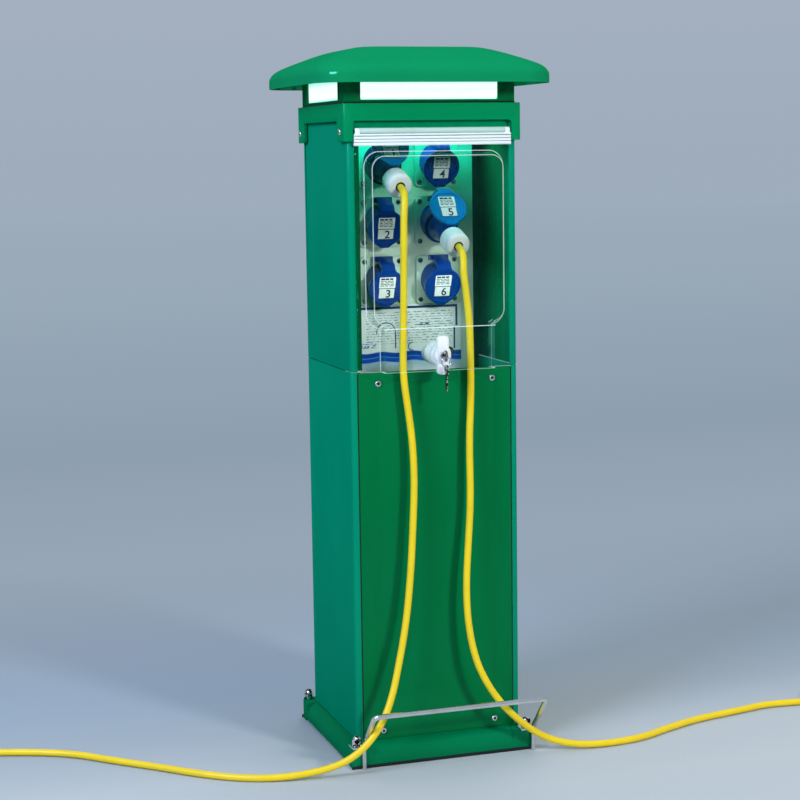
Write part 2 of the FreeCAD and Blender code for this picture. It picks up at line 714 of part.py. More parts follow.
def door():
    """Clear door: a rimmed sheet with a deep bubble, and a spout below it that is open at the bottom."""
    part = body("door_panel")
    half = "door_width / 2"
    face, back = "-leaf_front", "-leaf_front + door_sheet"
    block(part, (f"-{half}", half), (face, "-door_rim"), ("door_low", "leaf_low"))
    dress(part, "4", Y_AXIS, lambda c: near(c.z, number("door_low")))
    block(part, (f"-{half} + door_sheet", f"{half} - door_sheet"), (back, "-door_rim + 1"),
          ("door_low - 1", "leaf_low - door_sheet"), cut=True)
    slot = "-leaf_front + door_sheet / 2"
    block(part, ("-leaf_width / 2", "leaf_width / 2"), (slot, f"{slot} + door_sheet * 0.8"),
          ("leaf_low - 1", "leaf_low + door_tongue"))

    def frustum(wall, cut):
        outlines = []
        middle = "(bubble_low + bubble_high) / 2"
        rise = "(bubble_high - bubble_low) / 2"
        rows = (("-door_sheet - 1", "0"), ("bubble_depth", "bubble_draft")) if cut else (
            ("0", "0"), ("bubble_depth", "bubble_draft"))
        for depth, draft in rows:
            skin = wall if depth == "bubble_depth" else 0
            outline = sketch(part, "XZ_Plane", f"leaf_front + {depth} - ({skin})")
            rounded_rectangle(outline, f"bubble_width / 2 - {draft} - ({wall})", f"{rise} - {draft} - ({wall})",
                              f"bubble_corner - {draft} / 2 - ({wall})", middle)
            outlines.append(outline)
        loft(part, outlines, cut=cut, ruled=True)

    frustum("0", False)
    spout = "spout_width / 2"
    block(part, (f"-{spout}", spout), ("-leaf_front - bubble_depth", face), ("door_low", "bubble_low + 24"))
    dress(part, "3", Z_AXIS, lambda c: near(abs(c.x), number(spout)) and c.y < number(face) - 10)
    frustum("door_sheet", True)
    block(part, (f"-{spout} + door_sheet", f"{spout} - door_sheet"),
          ("-leaf_front - bubble_depth + door_sheet", "-door_rim + 1"),
          ("door_low - 1", "bubble_low + 24"), cut=True)
    rod(part, ("0", "-leaf_front - bubble_depth - 1", "lock_height"), "y", "lock_neck + slip", "door_sheet + 2",
        cut=True)
    node(part)


def lock():
    """Quarter-turn lock: a white barrel in the door, a winged handle, a cam, a key and its spare on a ring."""
    z = "lock_height"
    front = "(leaf_front + bubble_depth)"
    barrel = body("lock_body")
    rod(barrel, ("0", f"-{front} + door_sheet", z), "y", "lock_radius", f"{front} - door_sheet - lock_back")
    rod(barrel, ("0", f"-{front} - 2.5", z), "y", "lock_neck", "door_sheet + 4")
    rod(barrel, ("0", f"-{front} - 2.5", z), "y", "lock_radius - 1", "2.5")
    rod(barrel, ("0", f"-{front} - 5", z), "y", "spindle_radius + running", f"{front}", cut=True)
    node(barrel)
    handle = body("lock_handle")
    seat = f"-{front} - 2.5 - seam"
    block(handle, ("-wing_width / 2", "wing_width / 2"), ("-wing_front", seat),
          (f"{z} - wing_height / 2", f"{z} + wing_height / 2"))
    dress(handle, "4.5", Y_AXIS, lambda c: True)
    rod(handle, ("0", "-wing_front + 3", z), "y", "wing_width / 2 + 3.5", f"wing_front - 3 + ({seat})")
    rod(handle, ("0", "-wing_front + 3", z), "y", "spindle_radius", "wing_front - 3 - lock_back + cam_thick")
    rod(handle, ("0", "-wing_front - 1", z), "y", "5 + running", "wing_front - leaf_front - 4", cut=True)
    node(handle)
    cam = body("lock_cam")
    back = "-lock_back + seam"
    block(cam, ("0", "cam_reach"), (back, f"{back} + cam_thick"), (f"{z} - 7", f"{z} + 7"))
    dress(cam, "6", Y_AXIS, lambda c: c.x > 20)
    rod(cam, ("0", back, z), "y", "spindle_radius + 4", "cam_thick")
    rod(cam, ("0", f"{back} - 1", z), "y", "spindle_radius", "cam_thick + 2", cut=True)
    node(cam)


def key(angle, x, y, z):
    """Flat key with a round bow that has a hole for the ring, and a toothed blade."""
    part = body("key_blank")
    outline = polygon(sketch(part, "XY_Plane", "-key_thick / 2"), [
        ("-3.4", "-19"), ("-1.6", "-22"), ("3.4", "-22"), ("3.4", "2"), ("-3.4", "2"),
        ("-3.4", "-5"), ("-1.9", "-7"), ("-3.4", "-9.5"), ("-2.2", "-12"), ("-3.4", "-15")])
    pad(part, outline, "key_thick")
    rod(part, ("0", "key_bow", "-key_thick / 2"), "z", "key_bow", "key_thick")
    rod(part, ("0", "key_bow + 3.5", "-key_thick"), "z", "key_hole", "2 * key_thick", cut=True)
    part.Placement = FreeCAD.Placement(FreeCAD.Vector(number(x), number(y), number(z)), angle)
    return part


def keys():
    """The key stands in the handle's cylinder, and the spare hangs below it on the ring."""
    inserted = FreeCAD.Rotation(Z_AXIS, Y_AXIS * -1, X_AXIS)
    hanging = FreeCAD.Rotation(Y_AXIS, Z_AXIS, X_AXIS)
    shoulder = "-wing_front"
    ring_y = f"{shoulder} - key_bow - 3.5"
    slack = "(key_hole - ring_wire - running)"
    ring_z = f"lock_height - {slack} - ring_radius"
    cylinder = rod(None, ("0", "-wing_front", "lock_height"), "y", "5", "14")
    slot = block(None, ("-key_thick / 2", "key_thick / 2"), ("-wing_front - 1", "-wing_front + 15"),
                 ("lock_height - 3.4", "lock_height + 3.4"))
    core = doc.addObject("Part::Cut", "Core")
    core.Base = cylinder
    core.Tool = slot
    first = key(inserted, "0", shoulder, "lock_height")
    spare = key(hanging, "0", ring_y, f"{ring_z} - ring_radius - {slack} - key_bow - 3.5")
    group("lock_keys", [core, first, spare])
    ring = doc.addObject("Part::Torus", "Ring")
    ring.setExpression("Radius1", sized("ring_radius"))
    ring.setExpression("Radius2", sized("ring_wire"))
    place(ring, "0", ring_y, ring_z, X_AXIS, "90")
    node(ring, "key_ring")


def socket_places():
    """Number and place of each socket: three down the left, then three down the right."""
    places = []
    for number_on_plate in range(1, 7):
        side = -1 if number_on_plate < 4 else 1
        step = (number_on_plate - 1) % 3
        level = f"socket_top_row - {step} * socket_pitch"
        places.append((number_on_plate, f"{side} * socket_pitch / 2", level))
    return places


PLUGGED = {1: "left", 5: "right"}


def sockets():
    """Six angled sockets: flange, barrel and rear body in one, an insert with three holes, and a pinned lid."""
    inserts, pins = [], []
    for name, x, z in socket_places():
        housing = body(f"socket_housing_{name}")
        face = "-socket_face"
        block(housing, (f"{x} - flange_width / 2", f"{x} + flange_width / 2"), (face, f"{face} + flange_thick"),
              (f"{z} - flange_height / 2", f"{z} + flange_height / 2"))
        dress(housing, "flange_corner", Y_AXIS, lambda c: True)
        start = along_socket(x, z, "-socket_back")
        rod(housing, start, "tilt", "socket_body", "socket_back")
        rod(housing, along_socket(x, z, "-8"), "tilt", "barrel_radius", "barrel_length + 8")
        rod(housing, along_socket(x, z, "-barrel_floor"), "tilt", "barrel_bore", "barrel_floor + barrel_length + 9",
            cut=True)
        for side in (-1, 1):
            inner, outer = f"{x} + {side} * (lid_arm / 2 + seam)", f"{x} + {side} * (lid_arm / 2 + 4)"
            ear = sorted((inner, outer), key=number)
            block(housing, ear, (f"{face} - lid_out - 3.5", face),
                  (f"{z} + lid_up - 3.8", f"{z} + lid_up + 3.5"))
        rod(housing, (f"{x} - lid_arm", f"{face} - lid_out", f"{z} + lid_up"), "x", "lid_pin + running",
            "2 * lid_arm", cut=True)
        node(housing)
        insert = body("insert")
        rod(insert, along_socket(x, z, "-barrel_floor"), "tilt", "core_radius", "barrel_floor + core_front")
        for turn, radius in ((90, 3), (210, 2.5), (330, 2.5)):
            hole = along_socket(f"{x} + {round(10.5 * math.cos(math.radians(turn)), 3)}", z, "core_front - 16",
                                f"{round(10.5 * math.sin(math.radians(turn)), 3)}")
            rod(insert, hole, "tilt", f"{radius}", "20", cut=True)
        inserts.append(insert)
        pins.append(rod(None, (f"{x} - lid_arm / 2 - 4", f"{face} - lid_out", f"{z} + lid_up"), "x", "lid_pin",
                        "lid_arm + 8"))
        lid(name, x, z)
    group("socket_inserts", inserts)
    group("lid_pins", pins)


def along_socket(x, z, distance, across="0"):
    """Point at a distance along a socket's own axis, and so far up across it."""
    return (
        x,
        f"-socket_face - ({distance}) * cos(socket_tilt) - ({across}) * sin(socket_tilt)",
        f"{z} - ({distance}) * sin(socket_tilt) + ({across}) * cos(socket_tilt)",
    )


def lid(name, x, z):
    """Round lid with a blunt tip and an arm up to its pin. It is drawn from the pin, and turned there."""
    part = body(f"socket_lid_{name}")
    drop = "(lid_out * sin(socket_tilt) + lid_up * cos(socket_tilt))"
    out = "(barrel_length + seam - lid_out * cos(socket_tilt) + lid_up * sin(socket_tilt))"
    rod(part, ("0", f"-{drop}", out), "z", "lid_radius", "lid_thick")
    tip = polygon(sketch(part, "XY_Plane", out), [
        ("-17", f"-{drop} - 22.5"), ("-6.5", f"-{drop} - lid_tip"), ("6.5", f"-{drop} - lid_tip"),
        ("17", f"-{drop} - 22.5"), ("10", f"-{drop} - 10"), ("-10", f"-{drop} - 10")])
    pad(part, tip, "lid_thick")
    rod(part, ("0", f"-{drop}", f"{out} + lid_thick - 1"), "z", "lid_radius - 4", "2", cut=True)
    arm = polygon(sketch(part, "YZ_Plane"), [
        ("-lid_knuckle", "0"), (f"-{drop} + barrel_radius + 1", f"{out}"), ("-12", f"{out}"),
        ("-12", f"{out} + lid_thick"), (f"-{drop} + lid_radius + 1", f"{out} + lid_thick"),
        ("1.5", f"{out} - 2"), ("lid_knuckle", "0")])
    pad(part, arm, "lid_arm", midplane=True)
    rod(part, ("-lid_arm / 2", "0", "0"), "x", "lid_knuckle", "lid_arm")
    rod(part, ("-lid_arm", "0", "0"), "x", "lid_pin + running", "2 * lid_arm", cut=True)
    turn = "90 + socket_tilt - lid_rest" if name in PLUGGED else "90 + socket_tilt"
    place(part, x, "-socket_face - lid_out", f"{z} + lid_up", X_AXIS, turn)
    node(part)


def plugs():
    """A plug in two of the sockets: a skirt and waisted body, and a cap that narrows to the cord."""
    for name, x, z in socket_places():
        if name not in PLUGGED:
            continue
        lead = PLUGGED[name]
        shell = body(f"plug_{lead}_body")
        revolve(shell, [
            ("0", "core_front + 0.5"), ("plug_bore", "core_front + 0.5"), ("plug_bore", "-plug_inner"),
            ("plug_skirt", "-plug_inner"), ("plug_skirt", "28"), ("19", "33"), ("plug_waist", "40"),
            ("plug_waist", "plug_joint"), ("0", "plug_joint")])
        cap = body(f"plug_{lead}_cap")
        revolve(cap, [
            ("0", "plug_joint"), ("plug_waist + 0.6", "plug_joint"), ("cap_radius - 2", "plug_joint + 5"),
            ("cap_radius", "plug_joint + 9"), ("cap_radius", "plug_length - 14"), ("17", "plug_length - 6"),
            ("cord_radius + 3", "plug_length"), ("0", "plug_length")])
        flutes(cap)
        for part in (shell, cap):
            place(part, x, "-socket_face", z, X_AXIS, "90 + socket_tilt")
            node(part)


def flutes(cap):
    """Grip flutes round a cap, from its shoulder to where it narrows."""
    start = ("cap_radius + flute_radius / 2", "0", "plug_joint + 9")
    groove = rod(cap, start, "z", "flute_radius", "plug_length - 14 - plug_joint - 9", cut=True)
    ring = cap.newObject("PartDesign::PolarPattern", "Flutes")
    ring.Originals = [groove]
    ring.Axis = ([item for item in cap.Origin.OriginFeatures if item.Role == "Z_Axis"][0], [""])
    ring.Angle = 360
    ring.setExpression("Occurrences", sized("flutes"))
    cap.Tip = ring


def socket_plate():
    """Folded plate that carries the sockets, the compartment's floor and the card under the sockets."""
    part = body("socket_backplate")
    face = "-socket_face + flange_thick"
    inner, wall = "plate_width / 2", "(column_width / 2 - column_wall)"
    back = f"{face} + plate_depth"
    right = [
        (inner, face), (inner, f"{back} - plate_sheet"), (wall, f"{back} - plate_sheet"), (wall, back),
        (f"{inner} - plate_sheet", back), (f"{inner} - plate_sheet", f"{face} + plate_sheet")]
    left = [(f"-({x})", y) for x, y in reversed(right)]
    pad(part, polygon(sketch(part, "XY_Plane", "plate_low"), right + left), "plate_high - plate_low")
    for _, x, z in socket_places():
        rod(part, (x, f"{face} - 1", f"{z} + 2.4"), "y", "flange_width / 2 - 3.5", "plate_sheet + 2", cut=True)
    node(part)
    floor = body("compartment_floor")
    wide = ("-column_width / 2 + column_wall", "column_width / 2 - column_wall")
    block(floor, wide, ("-column_depth / 2 + 3 * column_wall", "plate_depth"),
          ("floor_height", "floor_height + column_wall"))
    node(floor)
    card = body("instruction_card")
    block(card, ("-card_width / 2", "card_width / 2"), (f"{face} - card_thick", face),
          ("floor_height + column_wall + card_lift",
           "socket_top_row - 2 * socket_pitch - flange_height / 2 - card_gap"))
    node(card)


def wiring():
    """Inside the lower column: a rail with six breakers, and the supply terminals on the plinth."""
    rail = body("din_rail")
    wide = ("-column_width / 2 + column_wall", "column_width / 2 - column_wall")
    block(rail, wide, ("20", "21"), ("rail_height - 12.5", "rail_height + 12.5"))
    for low, high in (("rail_height - rail_width / 2", "rail_height - 11.5"),
                      ("rail_height + 11.5", "rail_height + rail_width / 2")):
        block(rail, wide, ("13.5", "14.5"), (low, high))
    for low in ("rail_height - 12.5", "rail_height + 11.5"):
        block(rail, wide, ("13.5", "21"), (low, f"{low} + 1"))
    node(rail)
    breakers = []
    for i in range(6):
        start = f"({i} - 3) * breaker_width + {i} * 0.2"
        part = body("breaker")
        span = (start, f"{start} + breaker_width")
        block(part, span, ("-32", "13.3"), ("rail_height - 42", "rail_height + 42"))
        block(part, span, ("-50", "-31"), ("rail_height - 22", "rail_height + 22"))
        block(part, (f"{start} + 5", f"{start} + breaker_width - 5"), ("-58", "-49"),
              ("rail_height + 1", "rail_height + 9"))
        breakers.append(part)
    group("circuit_breakers", breakers)
    terminals = body("terminal_block")
    block(terminals, ("-60", "60"), ("entry_depth / 2 + 4", "entry_depth / 2 + 34"),
          ("column_base", "column_base + 6"))
    block(terminals, ("-55", "55"), ("entry_depth / 2 + 8", "entry_depth / 2 + 30"),
          ("column_base + 5", "column_base + 36"))
    node(terminals)


def rounded_path(points, share=0.45):
    """Straight runs joined by tangent arcs, each as large as its two runs allow, and the arcs' radii."""
    path, radii = [], []
    start = points[0]
    for before, corner, after in zip(points, points[1:], points[2:]):
        back, ahead = (before - corner), (after - corner)
        run = share * min(back.Length, ahead.Length)
        turn = math.pi - back.getAngle(ahead)
        radii.append(run / math.tan(turn / 2))
        first = corner + back * (run / back.Length)
        last = corner + ahead * (run / ahead.Length)
        inward = ((first + last) * 0.5 - corner).normalize()
        centre = corner + inward * math.hypot(run, radii[-1])
        middle = centre + (corner - centre) * (radii[-1] / (corner - centre).Length)
        path.append(Part.LineSegment(start, first).toShape())
        path.append(Part.Arc(first, middle, last).toShape())
        start = last
    path.append(Part.LineSegment(start, points[-1]).toShape())
    return path, radii


def tube(path, radius):
    """Round tube along a path of lines and arcs."""
    wire = Part.Wire(path)
    start = wire.OrderedEdges[0]
    begin = start.valueAt(start.FirstParameter)
    direction = start.tangentAt(start.FirstParameter)
    ring = Part.Wire(Part.Circle(begin, direction, radius).toShape())
    return wire.makePipeShell([ring], True, False), wire.Length


def shaped(name, shape):
    """Sub-part whose shape is worked out here."""
    part = doc.addObject("Part::Feature", name)
    part.Shape = shape
    return node(part, name)


def vectors(rows):
    return [FreeCAD.Vector(*row) for row in rows]


def hoop():
    """Bent rod hoop on two welded tabs under the front nuts."""
    left, right = number("-plinth_width / 2 + hoop_left_inset"), number("plinth_width / 2 - hoop_right_inset")
    foot, reach = number(HOOP_FOOT), -number("hoop_reach")
    knee, top = number("hoop_knee"), number("hoop_height")
    corners = vectors([(left, foot, 0), (left, foot, knee), (left, reach, top), (right, reach, top),
                       (right, foot, knee), (right, foot, 0)])
    path = bent_path(corners, number("hoop_bend"))
    rod_shape, _ = tube(path, number("hoop_radius"))
    bent = doc.addObject("Part::Feature", "Bent")
    bent.Shape = rod_shape
    parts = [bent]
    for side in (-1, 1):
        outer = f"{side} * plinth_width / 2"
        inner = f"{side} * (plinth_width / 2 - 23)"
        xs = sorted((outer, inner), key=number)
        x, y = anchor_place(side, -1)
        tab = block(None, xs, (f"{HOOP_FOOT} - hoop_radius + 1", f"{y} + 11"),
                    ("pad_top", "pad_top + tab_thick"))
        hole = rod(None, (x, y, "pad_top - 1"), "z", "anchor_radius", "tab_thick + 2")
        drilled = doc.addObject("Part::Cut", "Tab")
        drilled.Base = tab
        drilled.Tool = hole
        parts.append(drilled)
    node(fuse(parts), "hoop")


def bent_path(points, bend):
    """Straight runs joined by arcs of one radius."""
    path = []
    start = points[0]
    for before, corner, after in zip(points, points[1:], points[2:]):
        back, ahead = (before - corner).normalize(), (after - corner).normalize()
        half = back.getAngle(ahead) / 2
        first = corner + back * (bend / math.tan(half))
        last = corner + ahead * (bend / math.tan(half))
        centre = corner + (back + ahead).normalize() * (bend / math.sin(half))
        middle = centre + (corner - centre).normalize() * bend
        path.append(Part.LineSegment(start, first).toShape())
        path.append(Part.Arc(first, middle, last).toShape())
        start = last
    path.append(Part.LineSegment(start, points[-1]).toShape())
    return path


# Each lead's route from its plug to its coil, chosen by hand
LEFT_ROUTE = [
    (-46.6, -127.6, 838.4), (-49.6, -132.3, 817), (-50.4, -132.6, 783), (-50.8, -131.6, 724),
    (-52.6, -131.2, 644), (-54.6, -132.2, 583), (-47.6, -134, 531), (-42.6, -137, 483), (-41.4, -139.5, 426),
    (-45, -141.5, 366), (-50.2, -144, 294), (-59.4, -148, 221), (-74.5, -155, 157), (-88, -163, 112),
    (-104, -172, 81), (-128, -178, 51), (-159, -174, 25.5), (-200, -164, 11), (-259, -155, 5.3),
    (-314, -135, 5.3), (-366, -94, 5.3), (-412, -46, 5.3), (-470, 8, 5.3), (-546, 86, 5.3),
]
RIGHT_ROUTE = [
    (43.2, -127.2, 750.2), (41, -131.4, 731), (45.4, -131.6, 701), (50.4, -131.4, 652),
    (51.2, -131.8, 600), (50.6, -133, 545), (46, -136, 480), (46.6, -139, 392), (40.4, -142.5, 325),
    (35.2, -146, 262), (36.6, -150, 205), (45.8, -155, 153), (61.4, -160.5, 116), (82.6, -164, 84),
    (107, -166.5, 58), (133, -167, 36.5), (162, -165, 19), (201, -169, 8), (246, -174, 5.3), (312, -167, 5.3),
    (372, -136, 5.3), (440, -108, 5.3), (520, -92, 5.3), (590, -74, 5.3),
]


def coil_points(centre, middle, start_angle, hand):
    """Places and directions at each quarter turn: one layer winds in, the next out, up to the connector."""
    turns, pitch, rise = number("coil_turns"), number("coil_pitch"), number("coil_rise")
    low, lift = number("cord_radius + 0.05"), number("connector_radius + 0.1")
    outer, total = middle + pitch * turns / 2, 2 * turns + 0.5

    def spot(turn):
        if turn <= turns:
            distance, height = outer - pitch * turn, low
        elif turn < turns + 0.5:
            share = (turn - turns) * 2
            distance = outer - pitch * turns - pitch / 2 * share * (1 - share)
            height = low + rise * share * share * (3 - 2 * share)
        else:
            share = max(0, (turn - total) / 0.5 + 1)
            ease = share * share * (3 - 2 * share)
            distance = outer - pitch * (total - turn) + 15 * ease
            height = low + rise + (lift - low - rise) * ease
        angle = start_angle + hand * 2 * math.pi * turn
        return FreeCAD.Vector(centre[0] + distance * math.cos(angle), centre[1] + distance * math.sin(angle),
                              height)

    marks = [step / 4 for step in range(math.ceil(total * 4))] + [total]
    rows = []
    for mark in marks:
        before, after = max(mark - 1e-4, 0), min(mark + 1e-4, total)
        rows.append((spot(mark), (spot(after) - spot(before)).normalize()))
    return rows


def biarc(start, heading, end, arrival):
    """Two arcs that leave one place and reach the next in given directions."""
    span = end - start
    both = heading + arrival
    slack = 2 * (1 - heading.dot(arrival))
    reach = (-span.dot(both) + math.sqrt(span.dot(both) ** 2 + slack * span.dot(span))) / slack
    joint = (start + end + (heading - arrival) * reach) * 0.5
    return [arc_from(start, heading, joint), arc_from(end, arrival * -1, joint, True)]


def arc_from(start, heading, end, reverse=False):
    """Arc that leaves its start in a given direction."""
    chord = end - start
    side = (chord - heading * chord.dot(heading)).normalize()
    radius = chord.dot(chord) / (2 * chord.dot(side))
    centre = start + side * radius
    middle = centre + ((start + end) * 0.5 - centre).normalize() * radius
    if reverse:
        return Part.Arc(end, middle, start).toShape()
    return Part.Arc(start, middle, end).toShape()


def coil_path(rows, straight):
    """Biarcs along the coil, with a straight end of one tube diameter at each end."""
    first, heading = rows[0]
    last, arrival = rows[-1]
    path = [Part.LineSegment(first - heading * straight, first).toShape()]
    for (start, leave), (end, arrive) in zip(rows, rows[1:]):
        path += biarc(start, leave, end, arrive)
    path.append(Part.LineSegment(last, last + arrival * straight).toShape())
    return path


def self_gap(path, radius, skip):
    """Least gap between a tube's turns, measured on points along its middle."""
    points = []
    for edge in path:
        points += edge.discretize(Distance=3)[:-1]
    gap = 1e9
    for i, point in enumerate(points):
        for other in points[i + skip:]:
            gap = min(gap, point.distanceToPoint(other))
    return gap - 2 * radius


def path_length(path):
    return sum(edge.Length for edge in path)


def lead(name, plug_x, plug_z, route, centre, start_angle, hand):
    """One lead: the free cord, its coil and the connector. The coil takes up the rest of the length."""
    radius = number("cord_radius")
    exit_point, ahead = (
        FreeCAD.Vector(*(number(text) for text in along_socket(plug_x, plug_z, distance)))
        for distance in ("plug_length", "plug_length + 14.5")
    )
    middle = 60
    for _ in range(8):
        rows = coil_points(centre, middle, start_angle, hand)
        first, heading = rows[0]
        entry = first - heading * (2 * radius)
        path, radii = rounded_path([exit_point, ahead] + vectors(route) + [entry - heading * 60, entry])
        coil_edges = coil_path(rows, 2 * radius)
        rest = number("cord_length") - path_length(path) - path_length(coil_edges)
        middle += rest / (2 * math.pi * (2 * number("coil_turns") + 0.5))
    cord, length = tube(path, radius)
    coil, coil_length = tube(coil_edges, radius)
    section = math.pi * radius * radius
    print(name, "cord", round(length), "coil", round(coil_length), "total", round(length + coil_length))
    print("  coil across its middle, in cord diameters", round(middle / radius, 1))
    print("  arc radii", [round(value) for value in radii])
    print("  volume over section times length", round(cord.Volume / section / length, 4),
          round(coil.Volume / section / coil_length, 4))
    print("  least gap in the coil", round(self_gap(coil_edges, radius, 20), 2))
    shaped(f"cord_{name}", cord)
    shaped(f"coil_{name}", coil)
    last, arrival = rows[-1]
    connector(name, last + arrival * (2 * radius), arrival)


def connector(name, start, heading):
    """Connector on a lead's far end: it lies along the floor on its wide front."""
    part = body(f"connector_{name}")
    revolve(part, [
        ("0", "0"), ("cord_radius + 3", "0"), ("connector_grip - 1", "7"), ("connector_grip", "10"),
        ("connector_grip", "connector_length * 0.4"), ("connector_grip + 3", "connector_length * 0.5"),
        ("connector_radius", "connector_length * 0.6"), ("connector_radius", "connector_length"),
        ("connector_radius - 3", "connector_length"), ("connector_radius - 3", "connector_length - 34"),
        ("0", "connector_length - 34")])
    part.Placement = FreeCAD.Placement(start, FreeCAD.Rotation(Z_AXIS, heading))
    node(part)


def leads():
    places = {PLUGGED[name]: (x, z) for name, x, z in socket_places() if name in PLUGGED}
    lead("left", *places["left"], LEFT_ROUTE, (-738, 131), math.radians(53.1), 1)
    lead("right", *places["right"], RIGHT_ROUTE, (742, -120), math.radians(106.3), -1)


def check():
    """Stop if any object failed, any cut took nothing away or any sub-part isn't a valid solid."""
    for item in doc.Objects:
        if any(word in item.State for word in ("Invalid", "Error")):
            raise RuntimeError(f"{item.Label} failed: {item.State}")
        cuts = item.TypeId.startswith("PartDesign::Subtractive") or item.TypeId == "PartDesign::Pocket"
        if cuts and item.Shape.Volume > item.BaseFeature.Shape.Volume - 1e-3:
            raise RuntimeError(f"{item.Label} in {item.getParentGeoFeatureGroup().Label} cuts nothing")
    names = [part.Label for part in nodes]
    if len(set(names)) != len(names):
        raise RuntimeError("two sub-parts share a name")
    for part in nodes:
        if part.Shape.isNull() or not part.Shape.isValid() or not part.Shape.Solids:
            raise RuntimeError(f"{part.Label} isn't a valid solid")


plinth()
anchor_nuts()
hoop()
column()
front_panel()
panel_screws()
collar()
lamp()
hood()
door_hinge()
door()
lock()
keys()
socket_plate()
sockets()
plugs()
wiring()
leads()
doc.recompute()
check()
os.makedirs("parts", exist_ok=True)
for part in nodes:
    part.Shape.exportStep(f"parts/{part.Label}.step")
print(len(nodes), "sub-parts written")
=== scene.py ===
"""Looks of a camper service bollard: finishes, leads and detailed pieces round its frame."""

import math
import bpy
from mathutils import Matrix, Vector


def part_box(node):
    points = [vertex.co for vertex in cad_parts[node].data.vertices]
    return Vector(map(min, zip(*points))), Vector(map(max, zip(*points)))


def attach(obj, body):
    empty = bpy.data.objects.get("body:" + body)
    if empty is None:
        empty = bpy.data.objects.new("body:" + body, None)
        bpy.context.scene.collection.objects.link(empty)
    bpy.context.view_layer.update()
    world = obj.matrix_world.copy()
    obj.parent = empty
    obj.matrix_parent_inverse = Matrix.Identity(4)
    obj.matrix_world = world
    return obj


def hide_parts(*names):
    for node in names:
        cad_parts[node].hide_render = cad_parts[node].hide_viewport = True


bl_info = {
    "name": "Camper service bollard",
    "version": (1, 0, 0),
    "blender": (4, 5, 0),
    "location": "View3D > Sidebar > Bollard",
    "description": "Dresses a service bollard with its paint, leads, lids, door and lamp",
    "category": "Object",
}

import bpy
from bpy.props import FloatProperty, FloatVectorProperty, IntProperty, PointerProperty
from mathutils import Matrix, Vector

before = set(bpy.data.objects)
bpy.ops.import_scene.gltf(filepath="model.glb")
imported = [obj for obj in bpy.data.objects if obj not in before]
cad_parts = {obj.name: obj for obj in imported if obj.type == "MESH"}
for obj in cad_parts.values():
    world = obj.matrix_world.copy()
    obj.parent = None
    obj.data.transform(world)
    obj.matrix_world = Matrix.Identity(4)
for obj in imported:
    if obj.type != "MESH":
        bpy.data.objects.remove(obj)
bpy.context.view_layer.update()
MM = 0.001


def screen(red, green, blue):
    """Linear colour from a screen's 0 to 255 values."""
    return tuple((value / 255) ** 2.2 for value in (red, green, blue))


# Sizes and colours


def length(label, text, default):
    return FloatProperty(name=label, description=text, default=default, unit="LENGTH", precision=5)


def angle(label, text, degrees):
    return FloatProperty(name=label, description=text, default=math.radians(degrees), unit="ROTATION")


def colour(label, text, red, green, blue):
    return FloatVectorProperty(
        name=label, description=text, default=screen(red, green, blue), subtype="COLOR", min=0, max=1
    )


class BollardSizes(bpy.types.PropertyGroup):
    """Sizes that the pieces share, in metres."""

    cord_radius: length("Cord radius", "Half the thickness of the leads", 0.00525)
    cord_length: length("Cord length", "Real length of each lead", 5.0)
    coil_pitch: length("Coil pitch", "From one turn of the coil to the next", 0.0115)
    coil_rise: length("Coil rise", "Height of the coil's upper layer over the lower", 0.0111)
    coil_turns: FloatProperty(name="Coil turns", description="Turns in each layer of the coil", default=4.45)
    socket_pitch: length("Socket pitch", "From one socket to the next", 0.089)
    socket_top: length("Top socket", "Height of the top row of sockets", 0.8905)
    label_width: length("Label width", "Width of the number plate on a lid", 0.0255)
    label_height: length("Label height", "Height of the number plate on a lid", 0.0348)
    cap_radius: length("Cap radius", "Half the width of a plug's cap", 0.019)
    flutes: IntProperty(name="Flutes", description="Grip flutes round a plug's cap", default=24, min=8)


class BollardColours(bpy.types.PropertyGroup):
    """Colours of the finishes."""

    green: colour("Green paint", "Powder coat of the front and the frame", 0, 106, 58)
    # The side paint is the front's green made lighter and bluer: painted light, the look that light from the
    # left gives the folded sides
    side: colour("Side paint", "Powder coat of the folded sides", 0, 136, 102)
    collar: colour("Collar paint", "Powder coat of the collar", 0, 136, 84)
    plinth: colour("Plinth paint", "Powder coat of the plinth", 0, 114, 72)
    hood: colour("Hood paint", "Gloss paint of the hood", 0, 133, 82)
    blue: colour("Socket blue", "Moulded lids and sockets", 3, 50, 126)
    yellow: colour("Cord yellow", "Sheath of the leads", 238, 206, 30)
    white: colour("Plug white", "Moulded plugs and lock", 242, 247, 247)
    plate: colour("Plate grey", "Painted plate behind the sockets", 176, 198, 186)
    # The lamp glow is painted onto the plate and the flanges as emitted light
    glow: colour("Lamp glow", "Light of the lamp in the compartment", 60, 240, 205)


class BollardView(bpy.types.PropertyGroup):
    """Camera and studio light."""

    place: FloatVectorProperty(
        name="Camera place", description="Camera in the row frame", default=(-0.90527, -2.73117, 0.90451),
        subtype="TRANSLATION", precision=5,
    )
    yaw: angle("Yaw", "Camera turned to the right of straight ahead", 18.025)
    pitch: angle("Pitch", "Camera turned below the horizon", 7.4545)
    roll: angle("Roll", "Camera turned about its own axis", -0.8285)
    lens: FloatProperty(name="Lens", description="Focal length in millimetres", default=84.83, unit="CAMERA")
    sky: FloatProperty(name="Even light", description="Strength of the even studio light", default=0.24)


# Modelling helpers


def deselect():
    if bpy.context.object and bpy.context.object.mode != "OBJECT":
        bpy.ops.object.mode_set(mode="OBJECT")
    bpy.ops.object.select_all(action="DESELECT")


def pick(piece):
    """Make one object the selected and active one."""
    deselect()
    piece.select_set(True)
    bpy.context.view_layer.objects.active = piece
    return piece


def settle(piece):
    """Take an object's place into its mesh."""
    pick(piece)
    bpy.ops.object.transform_apply(location=True, rotation=True, scale=True)
    return piece


def added(name):
    """Name and return the object that an operator has just added."""
    piece = bpy.context.object
    piece.name = name
    piece.data.name = name
    return piece


